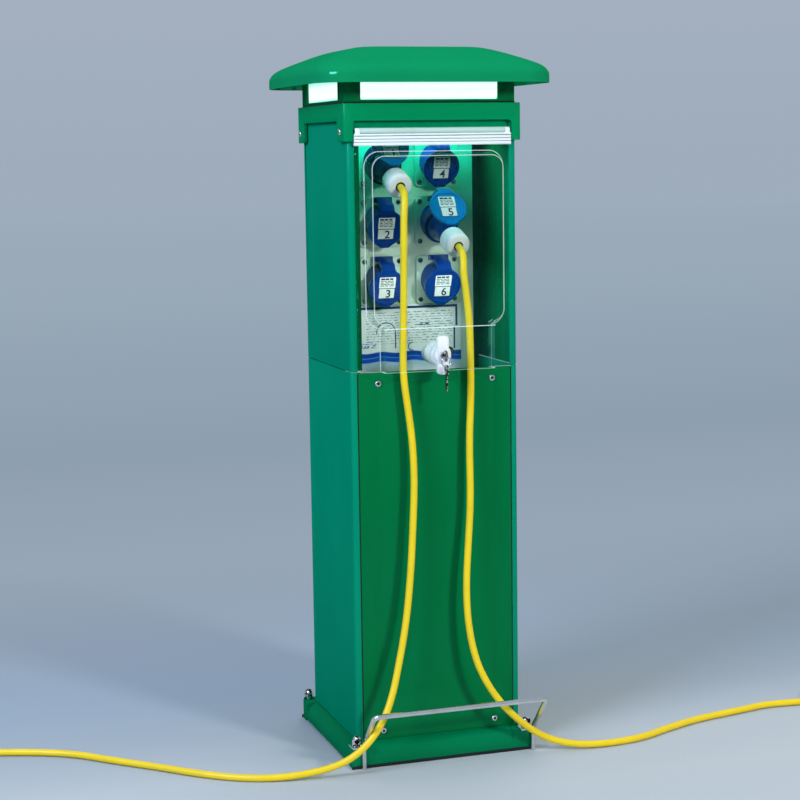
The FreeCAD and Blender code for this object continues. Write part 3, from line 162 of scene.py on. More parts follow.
def block(name, low, high):
    """Box between two corners, to be shaped further."""
    deselect()
    middle = [(a + b) / 2 for a, b in zip(low, high)]
    bpy.ops.mesh.primitive_cube_add(size=1, location=middle, scale=[b - a for a, b in zip(low, high)])
    return settle(added(name))


def drum(name, place, radius, depth, sides=48, turn=(0, 0, 0)):
    """Cylinder about a middle point, to be shaped further."""
    deselect()
    bpy.ops.mesh.primitive_cylinder_add(
        vertices=sides, radius=radius, depth=depth, location=place, rotation=turn
    )
    return settle(added(name))


def object_mode():
    bpy.ops.object.mode_set(mode="OBJECT")


def edit_mode():
    bpy.ops.object.mode_set(mode="EDIT")


# A face points along an axis where that axis has more than this share of its normal
ALONG = 0.9


def select_none(piece, kind):
    """Make a piece active, with no face or edge of its mesh selected."""
    pick(piece)
    edit_mode()
    bpy.ops.mesh.select_mode(type=kind)
    bpy.ops.mesh.select_all(action="DESELECT")
    object_mode()


def select_faces(piece, test):
    """In edit mode, select the faces whose middle and normal pass a test."""
    select_none(piece, "FACE")
    for face in piece.data.polygons:
        face.select = test(face.center, face.normal)
    edit_mode()


def select_edges(piece, test):
    """In edit mode, select the edges whose two ends pass a test."""
    select_none(piece, "EDGE")
    points = piece.data.vertices
    for edge in piece.data.edges:
        edge.select = test(points[edge.vertices[0]].co, points[edge.vertices[1]].co)
    edit_mode()


def cornered(piece, offset, segments, test):
    """Round only the edges whose two ends pass a test."""
    select_edges(piece, test)
    bpy.ops.mesh.bevel(offset=offset, segments=segments)
    object_mode()


def opened(piece, test):
    """Take away the faces whose middle and normal pass a test."""
    select_faces(piece, test)
    bpy.ops.mesh.delete(type="FACE")
    object_mode()


def extrude(move):
    """In edit mode, pull the selected faces out along the three axes."""
    bpy.ops.mesh.extrude_region_move(TRANSFORM_OT_translate={"value": move})


def recessed(piece, rim, move, test):
    """Sink the faces that pass a test, with a rim left round them."""
    select_faces(piece, test)
    bpy.ops.mesh.inset(thickness=rim)
    extrude(move)
    object_mode()


def applied(piece, modifier):
    """Take a modifier into a piece's mesh."""
    pick(piece)
    bpy.ops.object.modifier_apply(modifier=modifier.name)
    return piece


def smooth(piece, limit=35):
    """Shade a piece smooth across every edge flatter than a limit."""
    pick(piece)
    bpy.ops.object.shade_smooth_by_angle(angle=math.radians(limit))
    return piece


def rounded(piece, width, segments=2, limit=30, slot=-1, shading=35):
    """Round every edge sharper than a limit. The rounding has a material slot of its own if asked."""
    bevel = piece.modifiers.new("Edges", "BEVEL")
    bevel.width = width
    bevel.segments = segments
    bevel.use_clamp_overlap = False
    bevel.limit_method = "ANGLE"
    bevel.angle_limit = math.radians(limit)
    bevel.material = slot
    return smooth(applied(piece, bevel), shading)


def subdivided(piece, levels):
    """Make a cage into a smooth skin."""
    skin = piece.modifiers.new("Smooth skin", "SUBSURF")
    skin.levels = levels
    skin.render_levels = levels
    return smooth(applied(piece, skin))


def walled(piece, thickness):
    """Give an open skin a wall on its inner side."""
    wall = piece.modifiers.new("Wall", "SOLIDIFY")
    wall.thickness = thickness
    wall.offset = -1
    return applied(piece, wall)


def joined(name, pieces):
    """Several meshes as one piece."""
    deselect()
    for piece in pieces:
        piece.select_set(True)
    bpy.context.view_layer.objects.active = pieces[0]
    bpy.ops.object.join()
    return added(name)


def painted(piece, finish, test):
    """Give a second finish to the faces whose middle and normal pass a test."""
    piece.data.materials.append(finish)
    for face in piece.data.polygons:
        face.material_index = 1 if test(face.center, face.normal) else 0
    return piece


def dressed(piece, finish, body="bollard", instead=()):
    """Give a piece its finish and its body, and let it stand for CAD nodes."""
    piece.data.materials.clear()
    piece.data.materials.append(finish)
    if instead:
        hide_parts(*instead)
    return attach(piece, body)


def stands_for(piece, node, body="bollard"):
    """Let a piece that has its finishes stand for a CAD node and move with a body."""
    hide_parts(node)
    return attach(piece, body)


# How near two corners of a CAD mesh are one, and how flat two faces are one
WELD = 0.002 * MM
FLAT = math.radians(0.5)


def merged_copy(node, name):
    """Merged copy of a CAD node, with flat faces in one piece."""
    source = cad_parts[node]
    piece = source.copy()
    piece.data = source.data.copy()
    bpy.context.scene.collection.objects.link(piece)
    piece.parent = None
    piece.matrix_world = Matrix.Identity(4)
    piece.name = name
    piece.data.name = name
    pick(piece)
    edit_mode()
    bpy.ops.mesh.select_all(action="SELECT")
    bpy.ops.mesh.remove_doubles(threshold=WELD)
    bpy.ops.mesh.dissolve_limited(angle_limit=FLAT)
    object_mode()
    if piece.data.has_custom_normals:
        bpy.ops.mesh.customdata_custom_splitnormals_clear()
    return piece


# Finishes


def shader_of(name, base, rough, **sockets):
    """New material whose shader has its own sockets set."""
    finish = bpy.data.materials.new(name)
    finish.use_nodes = True
    shader = finish.node_tree.nodes["Principled BSDF"]
    shader.inputs["Base Color"].default_value = (*base, 1)
    shader.inputs["Roughness"].default_value = rough
    for socket, value in sockets.items():
        shader.inputs[socket.replace("_", " ")].default_value = value
    return finish, shader


def add(finish, kind, **settings):
    """New node with its settings, which are sockets where it has one of that name."""
    made = finish.node_tree.nodes.new(kind)
    for name, value in settings.items():
        label = name.replace("_", " ")
        if label in made.inputs:
            made.inputs[label].default_value = value
        else:
            setattr(made, name, value)
    return made


def link(finish, start, end):
    finish.node_tree.links.new(start, end)


def place_on(finish):
    """The piece's own coordinates."""
    return add(finish, "ShaderNodeTexCoord").outputs["Object"]


def noise(finish, scale, detail=3.0, stretch=None):
    """Noise on the piece's own coordinates, stretched along an axis if asked."""
    made = add(finish, "ShaderNodeTexNoise", Scale=scale, Detail=detail)
    source = place_on(finish)
    if stretch:
        turned = add(finish, "ShaderNodeMapping", Scale=stretch)
        link(finish, source, turned.inputs["Vector"])
        source = turned.outputs["Vector"]
    link(finish, source, made.inputs["Vector"])
    return made.outputs["Fac"]


def ramp(finish, value, stops):
    """Colours along a value, from (place, colour) stops."""
    made = add(finish, "ShaderNodeValToRGB")
    row = made.color_ramp.elements
    for i, (spot, tint) in enumerate(stops):
        stop = row[i] if i < 2 else row.new(spot)
        stop.position = spot
        stop.color = (*tint, 1)
    link(finish, value, made.inputs["Fac"])
    return made.outputs["Color"]


def feed(finish, value, socket):
    """Set a socket to a number, or link another node's output to it."""
    if isinstance(value, (int, float)):
        socket.default_value = value
    else:
        link(finish, value, socket)


def math_of(finish, operation, first, second=0.0):
    """Result of an operation on two values, each a number or another node's output."""
    made = add(finish, "ShaderNodeMath", operation=operation)
    feed(finish, first, made.inputs[0])
    feed(finish, second, made.inputs[1])
    return made.outputs[0]


def axis_of(finish, axis):
    """The piece's own X, Y or Z."""
    split = add(finish, "ShaderNodeSeparateXYZ")
    link(finish, place_on(finish), split.inputs[0])
    return split.outputs[axis]


def ranged(finish, value, **ends):
    """A value taken from one range to another, and held inside it."""
    made = add(finish, "ShaderNodeMapRange", **ends)
    link(finish, value, made.inputs["Value"])
    return made.outputs["Result"]


def bump_of(finish, scale, strength, distance=0.2 * MM):
    """Normal of a fine relief."""
    bump = add(finish, "ShaderNodeBump", Strength=strength, Distance=distance)
    link(finish, noise(finish, scale), bump.inputs["Height"])
    return bump.outputs["Normal"]


def blended(finish, share, first, second, output="Material Output"):
    """Show one shader with a share of another over it, in a finish or in the world."""
    mix = add(finish, "ShaderNodeMixShader")
    feed(finish, share, mix.inputs[0])
    link(finish, first.outputs[0], mix.inputs[1])
    link(finish, second.outputs[0], mix.inputs[2])
    link(finish, mix.outputs[0], finish.node_tree.nodes[output].inputs["Surface"])
    return finish


def mottle(finish, shader, base, amount, scale, stretch=None):
    """Slightly uneven colour, as paint and mouldings have."""
    dark = tuple(value * (1 - amount) for value in base)
    light = tuple(min(1, value * (1 + amount)) for value in base)
    tint = ramp(finish, noise(finish, scale, stretch=stretch), [(0.3, dark), (0.7, light)])
    link(finish, tint, shader.inputs["Base Color"])


def grain(finish, shader, scale, strength):
    """Fine relief of the surface."""
    link(finish, bump_of(finish, scale, strength), shader.inputs["Normal"])


def scuffs(finish, shader, low, high, scale):
    """Roughness that wanders between two values."""
    spread = ranged(finish, noise(finish, scale, 5.0), To_Min=low, To_Max=high)
    link(finish, spread, shader.inputs["Roughness"])


def paint(name, base, amount=0.05, gloss=0.02, rough=0.2):
    """Powder coat: even colour with the peel of sprayed paint, and a thin even gloss over it."""
    finish, shader = shader_of(name, base, 0.4, Specular_IOR_Level=0.0)
    mottle(finish, shader, base, amount, 9.0, (1.0, 1.0, 0.4))
    shine = add(finish, "ShaderNodeBsdfGlossy", Color=(0.25, 1, 0.75, 1), Roughness=rough)
    link(finish, bump_of(finish, 700.0, 0.12), shine.inputs["Normal"])
    return blended(finish, gloss, shader, shine)


# Depths at which the lining's painted shade is darkest and at which it is lightest
LINING_SHADE_BACK, LINING_SHADE_FRONT = 0.01, -0.118


def lining(base):
    """Inner walls with painted shade: dark at the back of the compartment and lighter to the front, with
    faint upright streaks.
    """
    finish, shader = shader_of("inner green", base, 0.5, Specular_IOR_Level=0.0)
    depth = ranged(finish, axis_of(finish, "Y"), From_Min=LINING_SHADE_BACK, From_Max=LINING_SHADE_FRONT, To_Max=0.8)
    streak = math_of(finish, "MULTIPLY", noise(finish, 55.0, 2.0, (1.0, 1.0, 0.02)), 0.5)
    share = math_of(finish, "SUBTRACT", math_of(finish, "ADD", depth, streak), 0.15)
    tint = ramp(finish, share, [(0.0, screen(0, 56, 26)), (1.0, base), (0.45, screen(0, 104, 62))])
    link(finish, tint, shader.inputs["Base Color"])
    return finish


def moulding(name, base, rough=0.35, amount=0.05, relief=0.1, **sockets):
    """Moulded plastic with a faint grain."""
    finish, shader = shader_of(name, base, rough, **sockets)
    mottle(finish, shader, base, amount, 40.0)
    grain(finish, shader, 900.0, relief)
    scuffs(finish, shader, rough - 0.05, rough + 0.08, 60.0)
    return finish


def metal(name, base, rough, amount, scale):
    """Bare metal with an uneven shine."""
    finish, shader = shader_of(name, base, rough, Metallic=1.0)
    mottle(finish, shader, base, amount, scale)
    grain(finish, shader, 500.0, 0.1)
    scuffs(finish, shader, rough - 0.08, rough + 0.12, scale)
    return finish


def patched_metal(name, dark, light, scale):
    """Shiny metal with dark and bright patches a few millimetres wide: painted reflections."""
    finish, shader = shader_of(name, light, 0.2, Metallic=1.0)
    tint = ramp(finish, noise(finish, scale, 2.0), [(0.0, dark), (1.0, light), (0.44, dark), (0.55, light)])
    link(finish, tint, shader.inputs["Base Color"])
    grain(finish, shader, 500.0, 0.1)
    return finish


def clear_sheet(name, low, high, pale=False):
    """Clear moulding: it shows what is behind it, under a gloss, or under a pale painted highlight, that
    grows from low to high.
    """
    finish = bpy.data.materials.new(name)
    finish.use_nodes = True
    finish.node_tree.nodes.remove(finish.node_tree.nodes["Principled BSDF"])
    through = add(finish, "ShaderNodeBsdfTransparent", Color=(0.97, 0.995, 0.985, 1))
    # A pale skin is diffuse colour: a painted highlight where an edge would reflect light
    kind = "ShaderNodeBsdfDiffuse" if pale else "ShaderNodeBsdfGlossy"
    tint = (0.9, 1, 0.96, 1) if pale else (0.14, 0.85, 0.6, 1)
    skin = add(finish, kind, Color=tint, Roughness=0.06)
    link(finish, bump_of(finish, 16.0, 0.25, 0.6 * MM), skin.inputs["Normal"])
    rim = add(finish, "ShaderNodeLayerWeight", Blend=0.2)
    share = ranged(finish, rim.outputs["Facing"], To_Min=low, To_Max=high)
    return blended(finish, share, through, skin)


def lamp_white():
    """Lit diffuser: white in the middle of its height, with a green tinge at its edges."""
    finish, shader = shader_of("lit diffuser", (0.9, 0.97, 0.95), 0.4, Emission_Strength=0.95)
    low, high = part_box("lamp_diffuser")
    edge, core = screen(95, 225, 205), screen(240, 255, 252)
    share = ranged(finish, axis_of(finish, "Z"), From_Min=low.z, From_Max=high.z)
    tint = ramp(finish, share, [(0.0, edge), (1.0, edge), (0.1, core), (0.42, core), (0.62, edge)])
    link(finish, tint, shader.inputs["Emission Color"])
    mottle(finish, shader, (0.85, 0.95, 0.92), 0.04, 30.0)
    return finish


# Printed areas of the card, as shares of it: middle and half of its height, then of its width
CARD_AREAS = {
    "words": (0.67, 0.24, 0.5, 0.42),
    "small print": (0.41, 0.035, 0.1, 0.07),
    "heading": (0.72, 0.03, 0.645, 0.055),
    "top line": (0.965, 0.018, 0.5, 0.465),
    "right line": (0.82, 0.155, 0.957, 0.01),
    "lower right line": (0.48, 0.16, 0.935, 0.008),
    "middle line": (0.48, 0.12, 0.36, 0.0055),
}
# Arcs drawn on the card: place across and up, radius, and the share of the card at which each is cut off
UPPER_ARC, UPPER_ARC_FOOT = (0.27, 0.6, 0.09), 0.58
LOWER_ARC, LOWER_ARC_SIDE = (0.52, 0.38, 0.035), 0.53
# Half the thickness of an arc, and what a share of the card's height is taken as in shares of its width
ARC_HALF, CARD_SHAPE = 0.0055, 0.62
# Lines of fine print in the card's height, the share of a line that is inked, and how the band's edges sway
CARD_LINES, CARD_INKED = 26.0, 0.38
BAND_TURN, BAND_SWAY = 21.0, 0.012


def printed_card():
    """Generic printed sheet: rows of fine print, a few drawn lines, a dark border and a blue band below."""
    finish, shader = shader_of("printed card", (0.7, 0.8, 0.8), 0.5)
    low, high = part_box("instruction_card")
    across = ranged(finish, axis_of(finish, "X"), From_Min=low.x, From_Max=high.x)
    up = ranged(finish, axis_of(finish, "Z"), From_Min=low.z, From_Max=high.z)

    def both(first, second):
        return math_of(finish, "MULTIPLY", first, second)

    def either(first, second):
        return math_of(finish, "MAXIMUM", first, second)

    def within(value, middle, half):
        away = math_of(finish, "ABSOLUTE", math_of(finish, "SUBTRACT", value, middle))
        return math_of(finish, "LESS_THAN", away, half)

    def area(name):
        height, half_height, aside, half_width = CARD_AREAS[name]
        return both(within(up, height, half_height), within(across, aside, half_width))

    def arc(middle, height, radius):
        """Ring about a point of the card."""
        aside = math_of(finish, "SUBTRACT", across, middle)
        above = both(math_of(finish, "SUBTRACT", up, height), CARD_SHAPE)
        away = math_of(finish, "SQRT", math_of(finish, "ADD", both(aside, aside), both(above, above)))
        return within(away, radius, ARC_HALF)

    def over(base, tint, share):
        made = add(finish, "ShaderNodeMix", data_type="RGBA")
        link(finish, share, made.inputs[0])
        link(finish, base, made.inputs[6])
        made.inputs[7].default_value = (*tint, 1)
        return made.outputs[2]

    paper, navy = screen(208, 220, 222), screen(26, 44, 96)
    wave = both(math_of(finish, "SINE", both(across, BAND_TURN)), BAND_SWAY)
    printed = ramp(finish, math_of(finish, "ADD", up, wave), [
        (0.0, paper), (1.0, paper), (0.16, screen(150, 186, 214)), (0.17, screen(14, 70, 180)),
        (0.222, screen(14, 70, 180)), (0.23, screen(96, 150, 210)), (0.24, screen(10, 58, 160)),
        (0.3, screen(10, 58, 160)), (0.31, paper)])
    rows = math_of(finish, "LESS_THAN", math_of(finish, "FRACT", both(up, CARD_LINES)), CARD_INKED)
    words = math_of(finish, "GREATER_THAN", noise(finish, 330.0, 1.0, (0.6, 0.0, 1.4)), 0.5)
    upper_arc = both(arc(*UPPER_ARC), math_of(finish, "GREATER_THAN", up, UPPER_ARC_FOOT))
    lower_arc = both(arc(*LOWER_ARC), math_of(finish, "LESS_THAN", across, LOWER_ARC_SIDE))
    for tint, strength, marks in (
        (screen(70, 92, 112), 0.8, both(both(rows, words), area("words"))),
        (screen(30, 80, 160), 0.9, both(area("small print"), words)),
        (navy, 1.0, either(area("top line"), area("right line"))),
        (navy, 0.85, either(upper_arc, lower_arc)),
        (navy, 1.0, either(area("lower right line"), area("middle line"))),
        (navy, 0.9, both(area("heading"), words)),
    ):
        printed = over(printed, tint, both(marks, strength))
    link(finish, printed, shader.inputs["Base Color"])
    scuffs(finish, shader, 0.4, 0.55, 30.0)
    return finish


# How far down the plate the lamp's painted green light reaches
LIT_HEIGHT = 0.15


def compartment_plate(name, base, glow):
    """Painted plate with the lamp's light painted on: an emitted green glow and a greener colour near its
    top, fading down.
    """
    finish, shader = shader_of(name, base, 0.5, Specular_IOR_Level=0.2, Emission_Strength=0.3)
    grain(finish, shader, 500.0, 0.1)
    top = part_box("socket_backplate")[1].z
    share = ranged(finish, axis_of(finish, "Z"), From_Min=top - LIT_HEIGHT, From_Max=top)
    fade = tuple(value * 0.25 for value in glow)
    tint = ramp(finish, share, [(0.0, (0, 0, 0)), (1.0, glow), (0.6, fade)])
    link(finish, tint, shader.inputs["Emission Color"])
    cloud = math_of(finish, "MULTIPLY", math_of(finish, "SUBTRACT", noise(finish, 20.0), 0.5), 0.15)
    # Painted light: the colour turns greener towards the top, as if lit by the lamp above
    lamp_lit_base = ramp(finish, math_of(finish, "ADD", share, cloud), [
        (0.0, base), (1.0, screen(6, 138, 118)), (0.12, base), (0.58, screen(86, 182, 142)),
        (0.8, screen(34, 160, 130))])
    link(finish, lamp_lit_base, shader.inputs["Base Color"])
    return finish


FINISHES = {}


def make_finishes(tints):
    """Every finish of the bollard, by name."""
    FINISHES.update(
        green=paint("green powder coat", tints.green),
        # side: the green made lighter and bluer, painted light on the folded sides
        side=paint("side powder coat", tints.side),
        collar=paint("collar powder coat", tints.collar),
        plinth=paint("plinth powder coat", tints.plinth),
        hood=paint("gloss hood paint", tints.hood, 0.04, 0.05, 0.06),
        # inner: lining with painted shade, darker towards the back
        inner=lining(screen(0, 142, 98)),
        galvanised=metal("galvanised steel", screen(190, 193, 193), 0.34, 0.16, 90.0),
        steel=metal("steel trim", screen(225, 226, 224), 0.22, 0.08, 40.0),
        # Nuts and keys: dark and bright patches as painted reflections
        nuts=patched_metal("domed nuts", screen(30, 32, 30), screen(238, 238, 234), 230.0),
        keys=patched_metal("keys with painted reflections", screen(52, 50, 44), screen(216, 212, 202), 300.0),
        # The fixed rail's paint is a darker, greener copy of the rail white: painted shade
        rail_green=paint("shaded door rail", screen(192, 218, 208), 0.02, 0.03),
        rail=paint("satin door rail", screen(240, 246, 246), 0.02, 0.05),
        rubber=moulding("black rubber", screen(24, 26, 26), 0.6, 0.1, 0.25),
        diffuser=lamp_white(),
        tube=moulding("frosted tube", (0.9, 0.95, 0.95), 0.3),
        tray=paint("white tray", screen(225, 228, 226), 0.03, 0.02),
        # plate and flange: the lamp's light painted on as a glow and a greener colour
        plate=compartment_plate("lit plate", tints.plate, tints.glow),
        flange=compartment_plate("lit flange", screen(178, 204, 192), tints.glow),
        card=printed_card(),
        blue=moulding("blue moulding", tints.blue, 0.22, 0.06, 0.06, Coat_Weight=0.3, Coat_Roughness=0.1),
        # Copies of the blue: navy and deep darker as painted shade, sky lighter as painted light
        navy=moulding("dark blue moulding", screen(4, 40, 118), 0.25, 0.06, 0.06),
        sky=moulding("lit blue moulding", screen(4, 118, 186), 0.3, 0.06, 0.06),
        deep=moulding("shaded blue moulding", screen(3, 18, 58), 0.4, 0.06, 0.06),
        shade_green=paint("shaded trim", screen(3, 78, 44)),
        insert=moulding("insert blue", screen(8, 40, 110), 0.45),
        white=moulding("white moulding", tints.white, 0.35, 0.03),
        label=moulding("label film", screen(222, 232, 235), 0.3, 0.02, 0.02),
        ink=moulding("printing ink", screen(20, 28, 48), 0.4, 0.05, 0.02),
        cord=moulding("yellow sheath", tints.yellow, 0.38, 0.04, 0.06),
        clear=clear_sheet("clear moulded sheet", 0.003, 0.4),
        # edge: pale painted highlight on the door's roundings and lip
        edge=clear_sheet("clear moulded edge", 0.42, 0.88, True),
        shadow=moulding("dark joint", screen(4, 34, 22), 0.6),
        # line: grey of the rail's grooves, painted shade
        line=moulding("rail groove", screen(96, 120, 116), 0.6),
        # dark: near-black of the screws' recesses and the plugs' mouths, painted shade, and of the rings
        # round the flange screws
        dark=moulding("dark recess", screen(18, 20, 20), 0.6),
        lock=moulding("lock white", screen(238, 240, 240), 0.25, 0.02, 0.04),
        breaker=moulding("breaker grey", screen(214, 214, 208), 0.5),
    )


# CAD nodes by the finish that they are given
NODE_FINISHES = {
    "green": ("front_panel", "lamp_frame"),
    "collar": ("collar",),
    "plinth": ("base_plinth",),
    # The folded sides take the lighter, bluer copy of the green as painted light
    "side": tuple(
        f"column_{part}_{wall}" for part in ("lower", "upper") for wall in ("left", "right", "rear")
    ),
    # Inner faces take the lining with painted shade, darker towards the back
    "inner": ("column_header", "compartment_floor"),
    "hood": ("hood",),
    "galvanised": ("din_rail",),
    "nuts": ("anchor_nuts",),
    "steel": ("hoop", "panel_screws", "lid_pins", "hinge_pin", "key_ring", "lock_cam"),
    "keys": ("lock_keys",),
    "rail_green": ("hinge_rail_fixed",),
    "rail": ("hinge_rail_moving",),
    "rubber": ("collar_gasket",),
    "diffuser": ("lamp_diffuser",),
    "tube": ("lamp_tubes",),
    "tray": ("lamp_tray",),
    "plate": ("socket_backplate",),
    "card": ("instruction_card",),
    "blue": (
        *(f"socket_housing_{i}" for i in range(2, 7)), *(f"socket_lid_{i}" for i in (2, 3, 6)),
        "plug_right_body",
    ),
    # Lit and shaded copies of the blue: painted light on lids 1 and 5, painted shade on lid 4, socket 1 and
    # the left plug
    "sky": ("socket_lid_1", "socket_lid_5"),
    "deep": ("socket_housing_1", "plug_left_body"),
    "navy": ("socket_lid_4",),
    "insert": ("socket_inserts",),
    "white": ("plug_left_cap", "plug_right_cap", "connector_left", "connector_right"),
    "cord": ("cord_left", "cord_right", "coil_left", "coil_right"),
    "clear": ("door_panel",),
    "lock": ("lock_body", "lock_handle"),
    "breaker": ("circuit_breakers", "terminal_block"),
}


# The stage


# Steps from a place's depth on the floor to its spot on the ramp of painted light and shade, both before and
# behind the bollard
FLOOR_STEPS = (("ADD", 0.3), ("ABSOLUTE", 0.0), ("POWER", 0.5), ("DIVIDE", 6.03))
# Spots on that ramp between which the real shadows give way to the painted tones that the camera sees
SHADOW_END, TONES_START = 0.15, 0.22


def floor_paint():
    """Floor whose tones paint light and shade by depth. The camera sees them far from the bollard, and its
    shadows close by.
    """
    finish, shader = shader_of("studio floor", (0.5, 0.56, 0.62), 0.9, Specular_IOR_Level=0.1)
    depth = axis_of(finish, "Y")
    for operation, value in FLOOR_STEPS:
        depth = math_of(finish, operation, depth, value)
    # Painted light and shade: lightest just before the bollard, darkest some three metres off, lighter again
    # far away
    tones = ramp(finish, depth, [
        (0.0, screen(186, 193, 197)), (1.0, screen(158, 173, 188)), (0.07, screen(182, 190, 196)),
        (0.105, screen(160, 172, 184)), (0.13, screen(152, 168, 184)), (0.166, screen(150, 165, 181)),
        (0.216, screen(150, 165, 181)), (0.3, screen(141, 157, 173)), (0.363, screen(145, 161, 177)),
        (0.506, screen(151, 167, 182))])
    link(finish, tones, shader.inputs["Base Color"])
    shine = add(finish, "ShaderNodeEmission", Strength=1.0)
    link(finish, tones, shine.inputs["Color"])
    far = ranged(finish, depth, From_Min=SHADOW_END, From_Max=TONES_START)
    seen = add(finish, "ShaderNodeLightPath").outputs["Is Camera Ray"]
    return blended(finish, math_of(finish, "MULTIPLY", seen, far), shader, shine)


def studio_world(strength):
    """Even light all round. The camera and gloss see a grey-blue backdrop instead."""
    world = bpy.data.worlds.new("studio")
    bpy.context.scene.world = world
    world.use_nodes = True
    light = world.node_tree.nodes["Background"]
    light.inputs["Color"].default_value = (0.93, 0.97, 1.0, 1)
    light.inputs["Strength"].default_value = strength
    split = add(world, "ShaderNodeSeparateXYZ")
    link(world, add(world, "ShaderNodeTexCoord").outputs["Generated"], split.inputs[0])
    tones = ramp(world, split.outputs["Z"], [(0.0, screen(157, 171, 187)), (0.1, screen(164, 175, 190))])
    backdrop = add(world, "ShaderNodeBackground")
    link(world, tones, backdrop.inputs["Color"])
    rays = add(world, "ShaderNodeLightPath").outputs
    seen = math_of(world, "MAXIMUM", rays["Is Camera Ray"], rays["Is Glossy Ray"])
    blended(world, seen, light, backdrop, "World Output")


# Lamps: name, place, aim, width, height, watts, colour, and whether gloss shows them
MIDDLE = (0, 0, 0.55)
LAMPS = (
    ("key", (-2.6, -1.5, 2.3), MIDDLE, 1.2, 1.6, 76.0, (0.85, 1.0, 1.3), True),
    ("fill", (1.5, -3.3, 1.9), MIDDLE, 0.5, 0.5, 83.0, (1.0, 1.0, 0.97), False),
    ("top", (0.2, 0.4, 3.2), MIDDLE, 2.2, 2.2, 30.0, (1.0, 1.0, 1.0), False),
    ("back", (1.5, 2.6, 2.0), MIDDLE, 1.6, 1.6, 22.0, (1.0, 1.0, 1.0), False),
    ("compartment", (0.0, -0.032, 0.924), (0.0, -0.02, 0.7), 0.22, 0.03, 0.22, (0.1, 1.0, 0.9), False),
    ("card", (0.0, -0.1, 0.73), (0.0, 0.0, 0.61), 0.18, 0.04, 0.13, (1.0, 1.0, 0.97), False),
)


def lamp(name, place, aim, width, height, watts, tint, shows):
    """Soft square lamp."""
    light = bpy.data.lights.new(name, "AREA")
    light.shape = "RECTANGLE"
    light.size, light.size_y = width, height
    light.energy = watts
    light.color = tint
    holder = bpy.data.objects.new(name, light)
    bpy.context.scene.collection.objects.link(holder)
    ahead = Vector(aim) - Vector(place)
    holder.matrix_world = Matrix.Translation(place) @ ahead.to_track_quat("-Z", "Y").to_matrix().to_4x4()
    holder.visible_glossy = shows


def camera(view):
    """Camera at the photograph's angle."""
    lens = bpy.data.cameras.new("camera")
    lens.sensor_width = 36
    lens.lens = view.lens
    holder = bpy.data.objects.new("camera", lens)
    bpy.context.scene.collection.objects.link(holder)
    turn = Matrix.Rotation(-view.yaw, 3, "Z") @ Matrix.Rotation(math.pi / 2 - view.pitch, 3, "X")
    turn = turn @ Matrix.Rotation(view.roll, 3, "Z")
    holder.matrix_world = Matrix.Translation(view.place) @ turn.to_4x4()
    bpy.context.scene.camera = holder


# The floor's reach, and how far it lies below the bollard's foot, so that the two don't flicker
FLOOR_RADIUS, FLOOR_DROP = 30, 0.2 * MM


class BollardStage(bpy.types.Operator):
    """Camera, lamps, backdrop and floor"""

    bl_idname = "bollard.stage"
    bl_label = "Stage"

    def execute(self, context):
        view = context.scene.bollard_view
        context.scene.view_settings.view_transform = "Standard"
        camera(view)
        studio_world(view.sky)
        for row in LAMPS:
            lamp(*row)
        deselect()
        bpy.ops.mesh.primitive_circle_add(
            vertices=96, radius=FLOOR_RADIUS, fill_type="NGON", location=(0, 0, -FLOOR_DROP)
        )
        floor = settle(added("floor"))
        floor.data.materials.append(floor_paint())
        return {"FINISHED"}


# Leads


# Route of each lead from its plug to its coil, in millimetres
LEFT_ROUTE = [
    (-46.6, -127.6, 838.4), (-49.6, -132.3, 817), (-50.4, -132.6, 783), (-50.8, -131.6, 724),
    (-52.6, -131.2, 644), (-54.6, -132.2, 583), (-47.6, -134, 531), (-42.6, -137, 483), (-41.4, -139.5, 426),
    (-45, -141.5, 366), (-50.2, -144, 294), (-59.4, -148, 221), (-74.5, -155, 157), (-88, -163, 112),
    (-104, -172, 81), (-128, -178, 51), (-159, -174, 25.5), (-200, -164, 11), (-259, -155, 5.3),
    (-314, -135, 5.3), (-366, -94, 5.3), (-412, -46, 5.3), (-470, 8, 5.3), (-546, 86, 5.3),
]
RIGHT_ROUTE = [
    (43.2, -127.2, 750.2), (41, -131.4, 731), (45.4, -131.6, 701), (50.4, -131.4, 652),
    (51.2, -131.8, 600), (50.6, -133, 545), (46, -136, 480), (46.6, -139, 392), (40.4, -142.5, 325),
    (35.2, -146, 262), (36.6, -150, 205), (45.8, -155, 153), (61.4, -160.5, 116), (82.6, -164, 84),
    (107, -166.5, 58), (133, -167, 36.5), (162, -165, 19), (201, -169, 8), (246, -174, 5.3), (312, -167, 5.3),
    (372, -136, 5.3), (440, -108, 5.3), (520, -92, 5.3), (590, -74, 5.3),
]
# Socket row and side of each lead's plug, its route, and its coil's centre, middle radius, start and hand
LEADS = {
    "left": (0, -1, LEFT_ROUTE, ((-0.738, 0.131), 0.059326, math.radians(53.1), 1)),
    "right": (1, 1, RIGHT_ROUTE, ((0.742, -0.120), 0.061893, math.radians(106.3), -1)),
}
SOCKET_FACE = 0.007
SOCKET_TILT = math.radians(20)
PLUG_LENGTH = 0.102
# Straight runs of a lead: out of its plug's cap, and up to its coil
EXIT_RUN, COIL_RUN = 0.0145, 0.06
# Coil: points in a turn, part of a turn in which it climbs, gap over the floor, and the connector's place
TURN_POINTS = 16
CLIMB = 0.5
FLOOR_GAP = 0.05 * MM
CONNECTOR_OUT, CONNECTOR_UP = 0.015, 0.0241


def socket_middle(row, side):
    """How far aside and how high the middle of a socket is."""
    sizes = bpy.context.scene.bollard_sizes
    return side * sizes.socket_pitch / 2, sizes.socket_top - row * sizes.socket_pitch


def along_socket(row, side, distance):
    """Point at a distance along a socket's own axis."""
    aside, height = socket_middle(row, side)
    return Vector((
        aside, -SOCKET_FACE - distance * math.cos(SOCKET_TILT), height - distance * math.sin(SOCKET_TILT)
    ))


def eased(share):
    """Share of a climb that starts and ends level."""
    return share * share * (3 - 2 * share)


